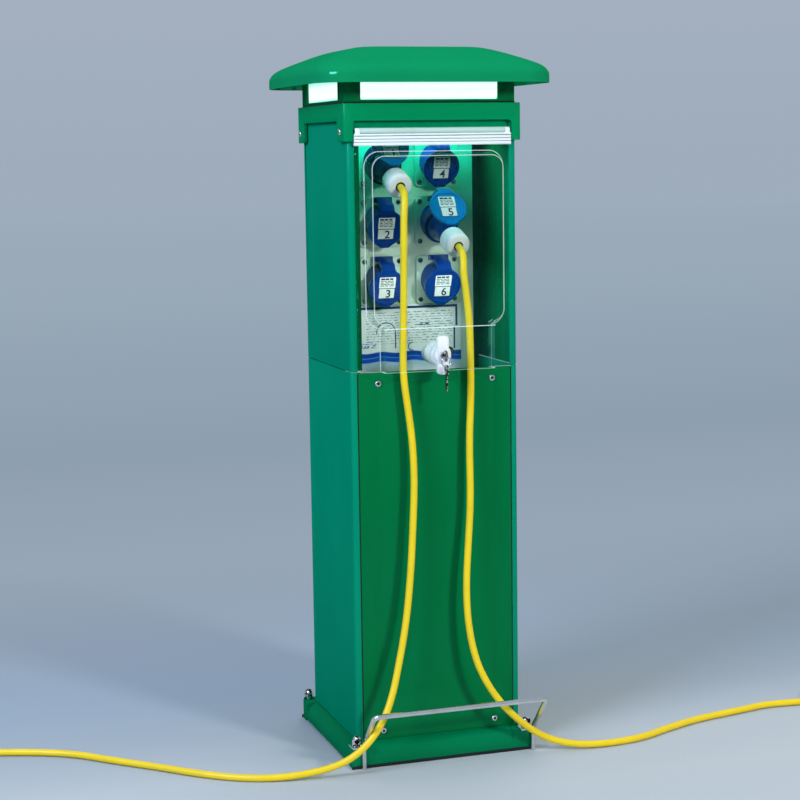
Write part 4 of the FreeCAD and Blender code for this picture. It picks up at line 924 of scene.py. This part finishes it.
def coil_spots(sizes, centre, middle, start, hand):
    """Points round a coil: one layer winds in, the next out, and the last half turn climbs to the connector.

    The directions in which the lead enters and leaves come with them.
    """
    turns, pitch, rise = sizes.coil_turns, sizes.coil_pitch, sizes.coil_rise
    low, outer, total = sizes.cord_radius + FLOOR_GAP, middle + pitch * turns / 2, 2 * turns + CLIMB
    bulge = 1 / math.cos(math.pi / TURN_POINTS)

    def spot(turn):
        if turn <= turns:
            distance, height = outer - pitch * turn, low
        elif turn < turns + CLIMB:
            share = (turn - turns) / CLIMB
            distance = outer - pitch * turns - pitch / 2 * share * (1 - share)
            height = low + rise * eased(share)
        else:
            climbed = eased(max(0, (turn - total) / CLIMB + 1))
            distance = outer - pitch * (total - turn) + CONNECTOR_OUT * climbed
            height = low + rise + (CONNECTOR_UP - low - rise) * climbed
        bearing = start + hand * 2 * math.pi * turn
        distance *= bulge if 0 < turn < total else 1
        return Vector((
            centre[0] + distance * math.cos(bearing), centre[1] + distance * math.sin(bearing), height
        ))

    count = math.ceil(total * TURN_POINTS)
    spots = [spot(min(i / TURN_POINTS, total)) for i in range(count)] + [spot(total)]
    heading = (spot(1e-4) - spot(0)).normalized()
    arrival = (spot(total) - spot(total - 1e-4)).normalized()
    return spots, heading, arrival


def lead(name, sizes):
    """One lead on a single smooth line, from its plug through the route and round its coil."""
    row, side, route, coil = LEADS[name]
    spots, heading, arrival = coil_spots(sizes, *coil)
    end_run = 2 * sizes.cord_radius
    entry = spots[0] - heading * end_run
    points = [along_socket(row, side, PLUG_LENGTH), along_socket(row, side, PLUG_LENGTH + EXIT_RUN)]
    points += [Vector(point) * MM for point in route]
    points += [entry - heading * COIL_RUN, entry] + spots + [spots[-1] + arrival * end_run]
    line = bpy.data.curves.new(f"lead_{name}", "CURVE")
    line.dimensions = "3D"
    line.bevel_depth = sizes.cord_radius
    line.bevel_resolution = 4
    line.use_fill_caps = True
    spline = line.splines.new("NURBS")
    spline.points.add(len(points) - 1)
    for point, place in zip(spline.points, points):
        point.co = (*place, 1)
    spline.order_u = 3
    spline.use_endpoint_u = True
    spline.resolution_u = 8
    piece = bpy.data.objects.new(f"lead_{name}", line)
    bpy.context.scene.collection.objects.link(piece)
    dressed(piece, FINISHES["cord"], instead=(f"cord_{name}", f"coil_{name}"))
    ties = coil_ties(name, sizes, *coil)


# Straps of a coil: where they lie in turns from its start, half width, wall, round corner and room over the
# turns, then further reach inwards and outwards, and gap over the floor
STRAP_TURNS = (0.30, 0.56)
STRAP_HALF, STRAP_WALL, STRAP_CORNER, STRAP_ROOM = 0.008, 0.0011, 0.005, 0.0016
STRAP_IN, STRAP_OUT, STRAP_FOOT = 0.0035, 0.002, 0.05 * MM


def coil_ties(name, sizes, centre, middle, start, hand):
    """Two straps round the coil's turns, away from where the lead goes in and out."""
    half = sizes.coil_pitch * sizes.coil_turns / 2 + sizes.cord_radius + STRAP_ROOM
    top = 2 * sizes.cord_radius + sizes.coil_rise + STRAP_ROOM
    low = (middle - half - STRAP_IN, -STRAP_HALF, STRAP_FOOT)
    high = (middle + half + STRAP_OUT, STRAP_HALF, top)
    straps = []
    for turn in STRAP_TURNS:
        strap = block("strap", low, high)
        opened(strap, lambda centre, normal: abs(normal.y) > ALONG)
        cornered(strap, STRAP_CORNER, 5, lambda a, b: abs(a.y - b.y) > MM)
        walled(strap, STRAP_WALL)
        bearing = start + hand * 2 * math.pi * turn
        strap.matrix_world = Matrix.Translation((*centre, 0)) @ Matrix.Rotation(bearing, 4, "Z")
        straps.append(smooth(settle(strap)))
    return dressed(joined(f"coil_ties_{name}", straps), FINISHES["rubber"])


class BollardLeads(bpy.types.Operator):
    """The two yellow leads, coiled at their far ends"""

    bl_idname = "bollard.leads"
    bl_label = "Leads"

    def execute(self, context):
        for name in LEADS:
            lead(name, context.scene.bollard_sizes)
        return {"FINISHED"}


# Finishes on the frame


class BollardFinishes(bpy.types.Operator):
    """Makes every finish and lays it on the frame's own nodes"""

    bl_idname = "bollard.finishes"
    bl_label = "Finishes"

    def execute(self, context):
        make_finishes(context.scene.bollard_colours)
        for name, nodes in NODE_FINISHES.items():
            for node in nodes:
                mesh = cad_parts[node].data
                mesh.materials.clear()
                mesh.materials.append(FINISHES[name])
        return {"FINISHED"}


# Castings, sheets and mouldings


# Rounding of each piece's edges, in millimetres, and the body that it moves with
ROUNDED = {
    "base_plinth": (0.5, "bollard"),
    "column_lower_left": (0.8, "bollard"),
    "column_lower_right": (0.8, "bollard"),
    "column_upper_left": (0.8, "bollard"),
    "column_upper_right": (0.8, "bollard"),
    "front_panel": (0.7, "bollard"),
    "collar": (1.0, "bollard"),
    "lamp_frame": (0.8, "bollard"),
    "hinge_rail_fixed": (0.3, "bollard"),
    "hinge_rail_moving": (0.3, "door"),
    "plug_left_body": (0.8, "bollard"),
    "plug_right_body": (0.8, "bollard"),
    "lock_body": (0.6, "door"),
    "lock_handle": (1.2, "lock_handle"),
    "lock_keys": (0.25, "lock_key"),
}


# Which way the compartment lies from each of its side walls, and how far out the walls' inner faces are
WALLS = {"column_upper_left": 1, "column_upper_right": -1}
WALL_INSIDE = 0.1285
# Half the width of the plate's flat part, between its folded sides
PLATE_HALF = 0.0985
# Depth from which the hoop's rod is made thicker, and by how much of its radius
HOOP_FRONT, HOOP_SWELL = -0.152, 0.6 * MM
# Dark joints beside the lower panel: width, depths of their front and back, and height of their foot
GAP_WIDTH, GAP_FRONT, GAP_BACK, GAP_FOOT = 0.0017, -0.1183, -0.1179, 0.036
# Lowest and highest corners of the wider edge at the left of the door, painted darker as painted shade, and
# of the dark strips under the plinth, a painted contact shadow
OPENING_SHADE_EDGE = (-0.1189, -0.1172, 0.5912), (-0.1118, -0.1152, 0.928)
FOOT_SHADOW = (-0.1453, -0.1423, 0.0), (0.1453, 0.1423, 0.0042)
FOOT_SHADOW_WALL = 0.003


def hoop_rod():
    """Bent rod before the panel, at the thickness that the real one has."""
    rod = merged_copy("hoop", "hoop_rod")
    select_faces(rod, lambda centre, normal: centre.y < HOOP_FRONT)
    bpy.ops.transform.shrink_fatten(value=HOOP_SWELL)
    object_mode()
    stands_for(smooth(rod), "hoop")


def panel_gaps():
    """Dark joints at the two sides of the lower panel."""
    low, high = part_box("front_panel")
    gaps = [
        block("gap", (left, GAP_FRONT, GAP_FOOT), (left + GAP_WIDTH, GAP_BACK, high.z))
        for left in (low.x - GAP_WIDTH, high.x)
    ]
    dressed(joined("panel_gaps", gaps), FINISHES["shadow"])


def socket_plate():
    """Folded plate behind the sockets, with its sides in the walls' green and its painted shade."""
    plate = merged_copy("socket_backplate", "socket_plate")
    painted(plate, FINISHES["inner"], lambda centre, normal: abs(centre.x) > PLATE_HALF)
    stands_for(plate, "socket_backplate")


def foot_seal():
    """Dark strips under the plinth's front and rear edges: painted contact shadow."""
    foot = block("foot_seal", *FOOT_SHADOW)
    opened(foot, lambda centre, normal: abs(normal.y) < ALONG)
    dressed(smooth(walled(foot, FOOT_SHADOW_WALL)), FINISHES["rubber"])


class BollardCastings(bpy.types.Operator):
    """The column, plinth, collar, rails and lock, with their edges rounded, their joints, and dark pieces of
    painted shade by the door and under the plinth
    """

    bl_idname = "bollard.castings"
    bl_label = "Castings"

    def execute(self, context):
        for node, (width, body) in ROUNDED.items():
            piece = rounded(merged_copy(node, f"{node}_piece"), width * MM)
            # The walls' inner faces take the lining with its painted shade
            if node in WALLS:
                painted(piece, FINISHES["inner"], lambda centre, normal: (
                    normal.x * WALLS[node] > 0.5 and abs(centre.x) < WALL_INSIDE))
            stands_for(piece, node, body)
        hoop_rod()
        panel_gaps()
        # A darker strip at the left edge of the door, painted shade
        dressed(block("shaded_opening_edge", *OPENING_SHADE_EDGE), FINISHES["shade_green"])
        socket_plate()
        foot_seal()
        return {"FINISHED"}


# Hood


# Rising sections of the hood: how far in from the rim and how high, in metres
HOOD_SECTIONS = (
    (0.0, 0.0135), (0.0008, 0.0155), (0.004, 0.022), (0.013, 0.0288), (0.038, 0.0388), (0.062, 0.0478),
    (0.082, 0.0537), (0.094, 0.0549),
)
HOOD_CORNER = 0.056
HOOD_WALL = 0.003
# Height of the rim that the sections rise from, and the flat border of the top
HOOD_RIM, HOOD_BORDER = 0.0015, 0.012
# Bosses under the hood: places, foot, radius, height, and the wall and depth of the hole in each
BOSS_X, BOSS_Y, BOSS_LOW, BOSS_RADIUS = 0.112, 0.092, 1.034, 0.007
BOSS_HEIGHT, BOSS_WALL, BOSS_HOLE = 0.013, 0.0045, 0.01


def hood_shell():
    """Thin shell, raised section by section from its rim and then smoothed."""
    low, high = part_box("hood")
    shell = block("hood_shell", low, (high.x, high.y, low.z + HOOD_RIM))
    cornered(shell, HOOD_CORNER, 6, lambda a, b: abs(a.z - b.z) > MM)
    select_faces(shell, lambda centre, normal: normal.z > ALONG)
    inset, height = 0.0, HOOD_RIM
    for next_inset, next_height in HOOD_SECTIONS:
        extrude((0, 0, next_height - height))
        scale = [(side - next_inset) / (side - inset) for side in (high.x, high.y)]
        bpy.ops.transform.resize(value=(*scale, 1), center_override=(0, 0, 0))
        inset, height = next_inset, next_height
    bpy.ops.mesh.inset(thickness=HOOD_BORDER)
    object_mode()
    opened(shell, lambda centre, normal: normal.z < -ALONG)
    return smooth(walled(subdivided(shell, 2), HOOD_WALL), 50)


def hood_boss(x, y):
    """Boss under the hood, with a screw's hole in its foot."""
    boss = drum("boss", (x, y, BOSS_LOW + BOSS_HEIGHT / 2), BOSS_RADIUS, BOSS_HEIGHT, 32)
    recessed(boss, BOSS_WALL, (0, 0, BOSS_HOLE), lambda centre, normal: normal.z < -ALONG)
    return smooth(boss)


class BollardHood(bpy.types.Operator):
    """Hood: a thin shell with soft corners, and four bosses under it"""

    bl_idname = "bollard.hood"
    bl_label = "Hood"

    def execute(self, context):
        shell = hood_shell()
        bosses = [hood_boss(x, y) for x in (-BOSS_X, BOSS_X) for y in (-BOSS_Y, BOSS_Y)]
        dressed(joined("hood_shell", [shell] + bosses), FINISHES["hood"], instead=("hood",))
        return {"FINISHED"}


# Clear door


DOOR_ROUNDING = 0.95 * MM
# Past this far aside, the door's roundings are as clear as its faces, with no painted highlight
DOOR_SIDE = 0.115
# Dark lines in the grooves of the door's rail, painted shade: half length, depths of front and back, then
# height and thickness of each
LINE_HALF, LINE_FRONT, LINE_BACK = 0.1201, -0.12462, -0.1243
RAIL_GROOVE_SHADES = (0.9206, 0.0004), (0.9248, 0.0005), (0.9292, 0.0009)
# Lowest and highest corners of the pale strip under the bubble, a painted highlight of its lip, and its
# rounding
DOOR_LIP_HIGHLIGHT = (-0.0862, -0.1449, 0.6513), (0.0862, -0.1443, 0.6525)
LIP_HIGHLIGHT_ROUNDING = 0.2 * MM


def clear_door():
    """Clear door whose roundings carry a pale painted highlight, apart from those at its sides and its back.
    """
    door = merged_copy("door_panel", "clear_door")
    door.data.materials.append(FINISHES["edge"])
    rounded(door, DOOR_ROUNDING, limit=40, slot=1, shading=50)
    for face in door.data.polygons:
        if abs(face.center.x) > DOOR_SIDE or face.normal.y > 0.05:
            face.material_index = 0
    door.visible_shadow = False
    stands_for(door, "door_panel", "door")


class BollardDoor(bpy.types.Operator):
    """Clear door with a deep bubble: painted highlights on its edges and lip, painted shade in its rail's
    grooves
    """

    bl_idname = "bollard.door"
    bl_label = "Clear door"

    def execute(self, context):
        clear_door()
        # Painted shade in the rail's grooves
        lines = [block("line", (-LINE_HALF, LINE_FRONT, low), (LINE_HALF, LINE_BACK, low + thickness))
                 for low, thickness in RAIL_GROOVE_SHADES]
        dressed(joined("rail_groove_shade", lines), FINISHES["line"], "door")
        lip_highlight = rounded(block("door_lip_highlight", *DOOR_LIP_HIGHLIGHT), LIP_HIGHLIGHT_ROUNDING)
        lip_highlight.visible_shadow = False
        dressed(lip_highlight, FINISHES["edge"], "door")
        return {"FINISHED"}


# Sockets and lids


# Number, side and row of each socket, and how far its lid is turned from flat
SOCKETS = tuple((i, -1 if i < 4 else 1, (i - 1) % 3) for i in range(1, 7))
LID_TURN = {i: math.radians(57 if i in (1, 5) else 110) for i in range(1, 7)}
LID_ROUNDING = 0.7 * MM
# A lid's pin, before the plate and over the socket's middle
PIN_DEPTH, PIN_RISE = -0.013, 0.0345


def lid_frame(number, side, row):
    """Place of a lid's own axes: at its pin, turned as the lid rests."""
    aside, height = socket_middle(row, side)
    pin = Matrix.Translation((aside, PIN_DEPTH, height + PIN_RISE))
    return pin @ Matrix.Rotation(LID_TURN[number], 4, "X")


# Number plate in the lid's own axes: its middle, its foot in the lid's recess, its film, ink and corners
LABEL_MIDDLE, LABEL_FOOT = -0.0345, 0.03148
FILM, INK, LABEL_CORNER = 0.4 * MM, 0.5 * MM, 1.2 * MM
# Rules: half thickness of those at the sides, thickness of the two across, and the gap over the middle one
SIDE_RULE_HALF, CROSS_RULE, CROSS_GAP = 0.4 * MM, 1.0 * MM, 0.2 * MM
# Fine print: rows, height of the first row and of the others, space between them, and margins
PRINT_ROWS, PRINT_FIRST, PRINT_TALL, PRINT_SPACE = 5, 2.8 * MM, 1.1 * MM, 1.4 * MM
PRINT_SIDE, PRINT_TOP = 2.0 * MM, 1.5 * MM
# Length of a word of fine print, as a share of its place: the longest, and how much shorter the next two are
WORD_LONG, WORD_LESS = 0.88, 0.1
# Figure: place aside, foot below the middle, height over the film's foot, size, thickness and swell
FIGURE_ASIDE, FIGURE_FOOT, FIGURE_UP = 2.5 * MM, 15.2 * MM, 0.45 * MM
FIGURE_SIZE, FIGURE_THICK, FIGURE_SWELL = 17.5 * MM, 0.1 * MM, 0.3 * MM


def label_rules(half_x, half_y):
    """Left, right, low and high of the rules on a number plate, and of the fine print above them."""
    low, high = LABEL_MIDDLE - half_y, LABEL_MIDDLE + half_y
    rules = [(-half_x, half_x, foot, foot + CROSS_RULE)
             for foot in (LABEL_MIDDLE - CROSS_RULE - CROSS_GAP, low)]
    for side in (-1, 1):
        aside = side * (half_x - SIDE_RULE_HALF)
        rules.append((aside - SIDE_RULE_HALF, aside + SIDE_RULE_HALF, low, LABEL_MIDDLE))
    edge = high - PRINT_TOP
    for i in range(PRINT_ROWS):
        tall = PRINT_TALL if i else PRINT_FIRST
        words = 3 + i % 2
        step = 2 * (half_x - PRINT_SIDE) / words
        for j in range(words):
            start = -half_x + PRINT_SIDE + j * step
            share = WORD_LONG - WORD_LESS * ((i + j) % 3)
            rules.append((start, start + share * step, edge - tall, edge))
        edge -= tall + PRINT_SPACE
    return rules


def label_figure(number):
    """The socket's number as a thin solid figure."""
    deselect()
    bpy.ops.object.text_add(location=(FIGURE_ASIDE, LABEL_MIDDLE - FIGURE_FOOT, LABEL_FOOT + FIGURE_UP))
    figure = added("figure")
    figure.data.body = str(number)
    figure.data.size = FIGURE_SIZE
    figure.data.align_x = "CENTER"
    figure.data.extrude = FIGURE_THICK
    figure.data.offset = FIGURE_SWELL
    pick(figure)
    bpy.ops.object.convert(target="MESH")
    return settle(bpy.context.object)


def lid_label(number, place, sizes):
    """Film plate on a lid: a few fine rules above, a line across and the socket's number below."""
    half_x, half_y = sizes.label_width / 2, sizes.label_height / 2
    plate = block("plate", (-half_x, LABEL_MIDDLE - half_y, LABEL_FOOT),
                  (half_x, LABEL_MIDDLE + half_y, LABEL_FOOT + FILM))
    cornered(plate, LABEL_CORNER, 3, lambda a, b: abs(a.z - b.z) > FILM / 2)
    marks = [block("rule", (left, low, LABEL_FOOT), (right, high, LABEL_FOOT + INK))
             for left, right, low, high in label_rules(half_x, half_y)]
    ink = joined("marks", marks + [label_figure(number)])
    for part, finish in ((plate, "label"), (ink, "ink")):
        part.data.materials.append(FINISHES[finish])
        part.matrix_world = place
        settle(part)
    return joined(f"lid_{number}_label", [plate, ink])


# Turn of a drum whose axis points to the front
FACING_FRONT = (math.pi / 2, 0, 0)
# Plug's cap: depth, rounding of its front, depth of its flutes, and radius and depth of the lead's mouth
CAP_DEPTH, CAP_DOME, FLUTE_DEPTH, MOUTH, MOUTH_DEPTH = 0.030, 0.006, 0.9 * MM, 0.0074, 0.002


def plug_cap(name, sizes):
    """Ribbed cap with a domed front and a mouth for the lead, painted dark as painted shade."""
    row, side = LEADS[name][:2]
    front, sides = -PLUG_LENGTH, 3 * sizes.flutes
    step = 2 * math.pi / sides
    cap = drum(
        f"plug_cap_{name}", (0, front + CAP_DEPTH / 2, 0), sizes.cap_radius, CAP_DEPTH, sides, FACING_FRONT
    )
    cornered(cap, CAP_DOME, 6, lambda a, b: max(a.y, b.y) < front + MM)
    select_faces(cap, lambda centre, normal: (
        abs(normal.y) < 0.02 and int(math.atan2(centre.z, centre.x) / step + sides) % 3 == 0))
    bpy.ops.mesh.extrude_region_shrink_fatten(TRANSFORM_OT_shrink_fatten={"value": -FLUTE_DEPTH})
    object_mode()
    rim = sizes.cap_radius - CAP_DOME - MOUTH
    recessed(cap, rim, (0, MOUTH_DEPTH, 0), lambda centre, normal: centre.y < front + 0.1 * MM)
    cap.matrix_world = Matrix.Translation(along_socket(row, side, 0)) @ Matrix.Rotation(SOCKET_TILT, 4, "X")
    dressed(smooth(settle(cap), 40), FINISHES["white"], instead=(f"plug_{name}_cap",))
    mouth = along_socket(row, side, PLUG_LENGTH)
    painted(cap, FINISHES["dark"], lambda centre, normal: (centre - mouth).length < MOUTH * 1.02)


class BollardPlugs(bpy.types.Operator):
    """White ribbed caps of the two plugs"""

    bl_idname = "bollard.plugs"
    bl_label = "Plugs"

    def execute(self, context):
        for name in LEADS:
            plug_cap(name, context.scene.bollard_sizes)
        return {"FINISHED"}


class BollardLids(bpy.types.Operator):
    """Six hinged lids with a number plate on each"""

    bl_idname = "bollard.lids"
    bl_label = "Lids"

    def execute(self, context):
        for number, side, row in SOCKETS:
            node, body = f"socket_lid_{number}", f"lid_{number}"
            stands_for(rounded(merged_copy(node, f"lid_{number}_cover"), LID_ROUNDING, 3), node, body)
            label = lid_label(number, lid_frame(number, side, row), context.scene.bollard_sizes)
            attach(label, body)
        return {"FINISHED"}


# Shares of a screw head's height: past which its front edge lies, and that the rounding of that edge takes
HEAD_FRONT, HEAD_ROUND = 0.9, 0.6
WASHER_THICK = 0.4 * MM
SCREW_SIDES = 24


def sunk_screw(radius, height, recess, depth, washer=0.0):
    """Round-headed screw whose recess is painted dark as painted shade, at the origin and facing the front.
    """
    head = drum("head", (0, -height / 2, 0), radius, height, SCREW_SIDES, FACING_FRONT)
    cornered(head, height * HEAD_ROUND, 3, lambda a, b: max(a.y, b.y) < -height * HEAD_FRONT)
    rim = radius - height * HEAD_ROUND - recess
    recessed(head, rim, (0, depth, 0), lambda centre, normal: normal.y < -0.99)
    head.data.materials.append(FINISHES["steel"])
    painted(head, FINISHES["dark"], lambda centre, normal: (
        math.hypot(centre.x, centre.z) < recess * 1.01 and centre.y < -0.01 * MM))
    smooth(head)
    if washer:
        ring = drum("ring", (0, -WASHER_THICK / 4, 0), washer, WASHER_THICK, SCREW_SIDES, FACING_FRONT)
        ring.data.materials.append(FINISHES["dark"])
        head = joined("head", [head, ring])
    return head


def placed_screw(spot, turn, shape):
    """A screw at a place, turned about the upright."""
    screw = sunk_screw(*shape)
    screw.matrix_world = Matrix.Translation(spot) @ Matrix.Rotation(turn, 4, "Z")
    return settle(screw)


# Screws: radius and height of the head, radius and depth of its recess, and radius of a dark ring round it
FLANGE_SCREW = (0.0032, 0.0013, 0.0013, 0.0008, 0.0039)
BUTTON_SCREW = (0.0048, 0.0024, 0.0021, 0.0014)
LOCK_BARREL = (0.0058, 0.0014, 0.0022, 0.0012)
# Places of a flange's screws from its middle, and of the lock's barrel
FLANGE_SCREW_X, FLANGE_SCREW_Z = 0.0275, 0.030
LOCK_PLACE = (0, -0.1579, 0.612)
# Places of the panel's and collar's screws, and the turn of each from the front
PANEL_SCREWS = tuple(((side * 0.0889, -0.1195, height), 0) for side in (-1, 1) for height in (0.0477, 0.571))
COLLAR_SCREWS = tuple(
    ((side * 0.1363, end * 0.10755, 0.936), side * math.pi / 2) for side in (-1, 1) for end in (-1, 1)
)
SOCKET_ROUNDING = 0.5 * MM


class BollardSockets(bpy.types.Operator):
    """Six sockets: pale flanges with their screws, and blue barrels"""

    bl_idname = "bollard.sockets"
    bl_label = "Sockets"

    def execute(self, context):
        screws = []
        for number, side, row in SOCKETS:
            node = f"socket_housing_{number}"
            piece = rounded(merged_copy(node, f"socket_{number}"), SOCKET_ROUNDING)
            # The flanges take the plate's painted lamp light
            painted(piece, FINISHES["flange"], lambda centre, normal: centre.y > -SOCKET_FACE - 0.1 * MM)
            stands_for(piece, node)
            aside, height = socket_middle(row, side)
            for across in (-FLANGE_SCREW_X, FLANGE_SCREW_X):
                for up in (-FLANGE_SCREW_Z, FLANGE_SCREW_Z):
                    screws.append(placed_screw((aside + across, -SOCKET_FACE, height + up), 0, FLANGE_SCREW))
        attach(joined("flange_screws", screws), "bollard")
        return {"FINISHED"}


class BollardScrews(bpy.types.Operator):
    """Button screws of the lower panel and the collar, each with a dark socket, and the lock's barrel"""

    bl_idname = "bollard.screws"
    bl_label = "Screws"

    def execute(self, context):
        screws = [placed_screw(spot, turn, BUTTON_SCREW) for spot, turn in PANEL_SCREWS + COLLAR_SCREWS]
        stands_for(joined("button_screws", screws), "panel_screws")
        barrel = placed_screw(LOCK_PLACE, 0, LOCK_BARREL)
        barrel.name = barrel.data.name = "lock_barrel"
        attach(barrel, "lock_key")
        return {"FINISHED"}


# Panel and running


STEPS = (
    BollardFinishes, BollardStage, BollardLeads, BollardCastings, BollardHood, BollardDoor, BollardSockets,
    BollardPlugs, BollardLids, BollardScrews,
)


class BollardPanel(bpy.types.Panel):
    """Sizes, colours and the making of each piece"""

    bl_idname = "VIEW3D_PT_bollard"
    bl_label = "Service bollard"
    bl_space_type = "VIEW_3D"
    bl_region_type = "UI"
    bl_category = "Bollard"

    def draw(self, context):
        layout = self.layout
        for group in (context.scene.bollard_sizes, context.scene.bollard_colours, context.scene.bollard_view):
            column = layout.column(align=True)
            for name in group.__annotations__:
                column.prop(group, name)
        for step in STEPS:
            layout.operator(step.bl_idname)


CLASSES = (BollardSizes, BollardColours, BollardView, *STEPS, BollardPanel)


def register():
    for cls in CLASSES:
        bpy.utils.register_class(cls)
    bpy.types.Scene.bollard_sizes = PointerProperty(type=BollardSizes)
    bpy.types.Scene.bollard_colours = PointerProperty(type=BollardColours)
    bpy.types.Scene.bollard_view = PointerProperty(type=BollardView)


def unregister():
    del bpy.types.Scene.bollard_view
    del bpy.types.Scene.bollard_colours
    del bpy.types.Scene.bollard_sizes
    for cls in reversed(CLASSES):
        bpy.utils.unregister_class(cls)


def main():
    """Make every piece in order."""
    register()
    bpy.ops.bollard.finishes()
    bpy.ops.bollard.stage()
    bpy.ops.bollard.leads()
    bpy.ops.bollard.castings()
    bpy.ops.bollard.hood()
    bpy.ops.bollard.door()
    bpy.ops.bollard.sockets()
    bpy.ops.bollard.plugs()
    bpy.ops.bollard.lids()
    bpy.ops.bollard.screws()


if __name__ == "__main__":
    main()
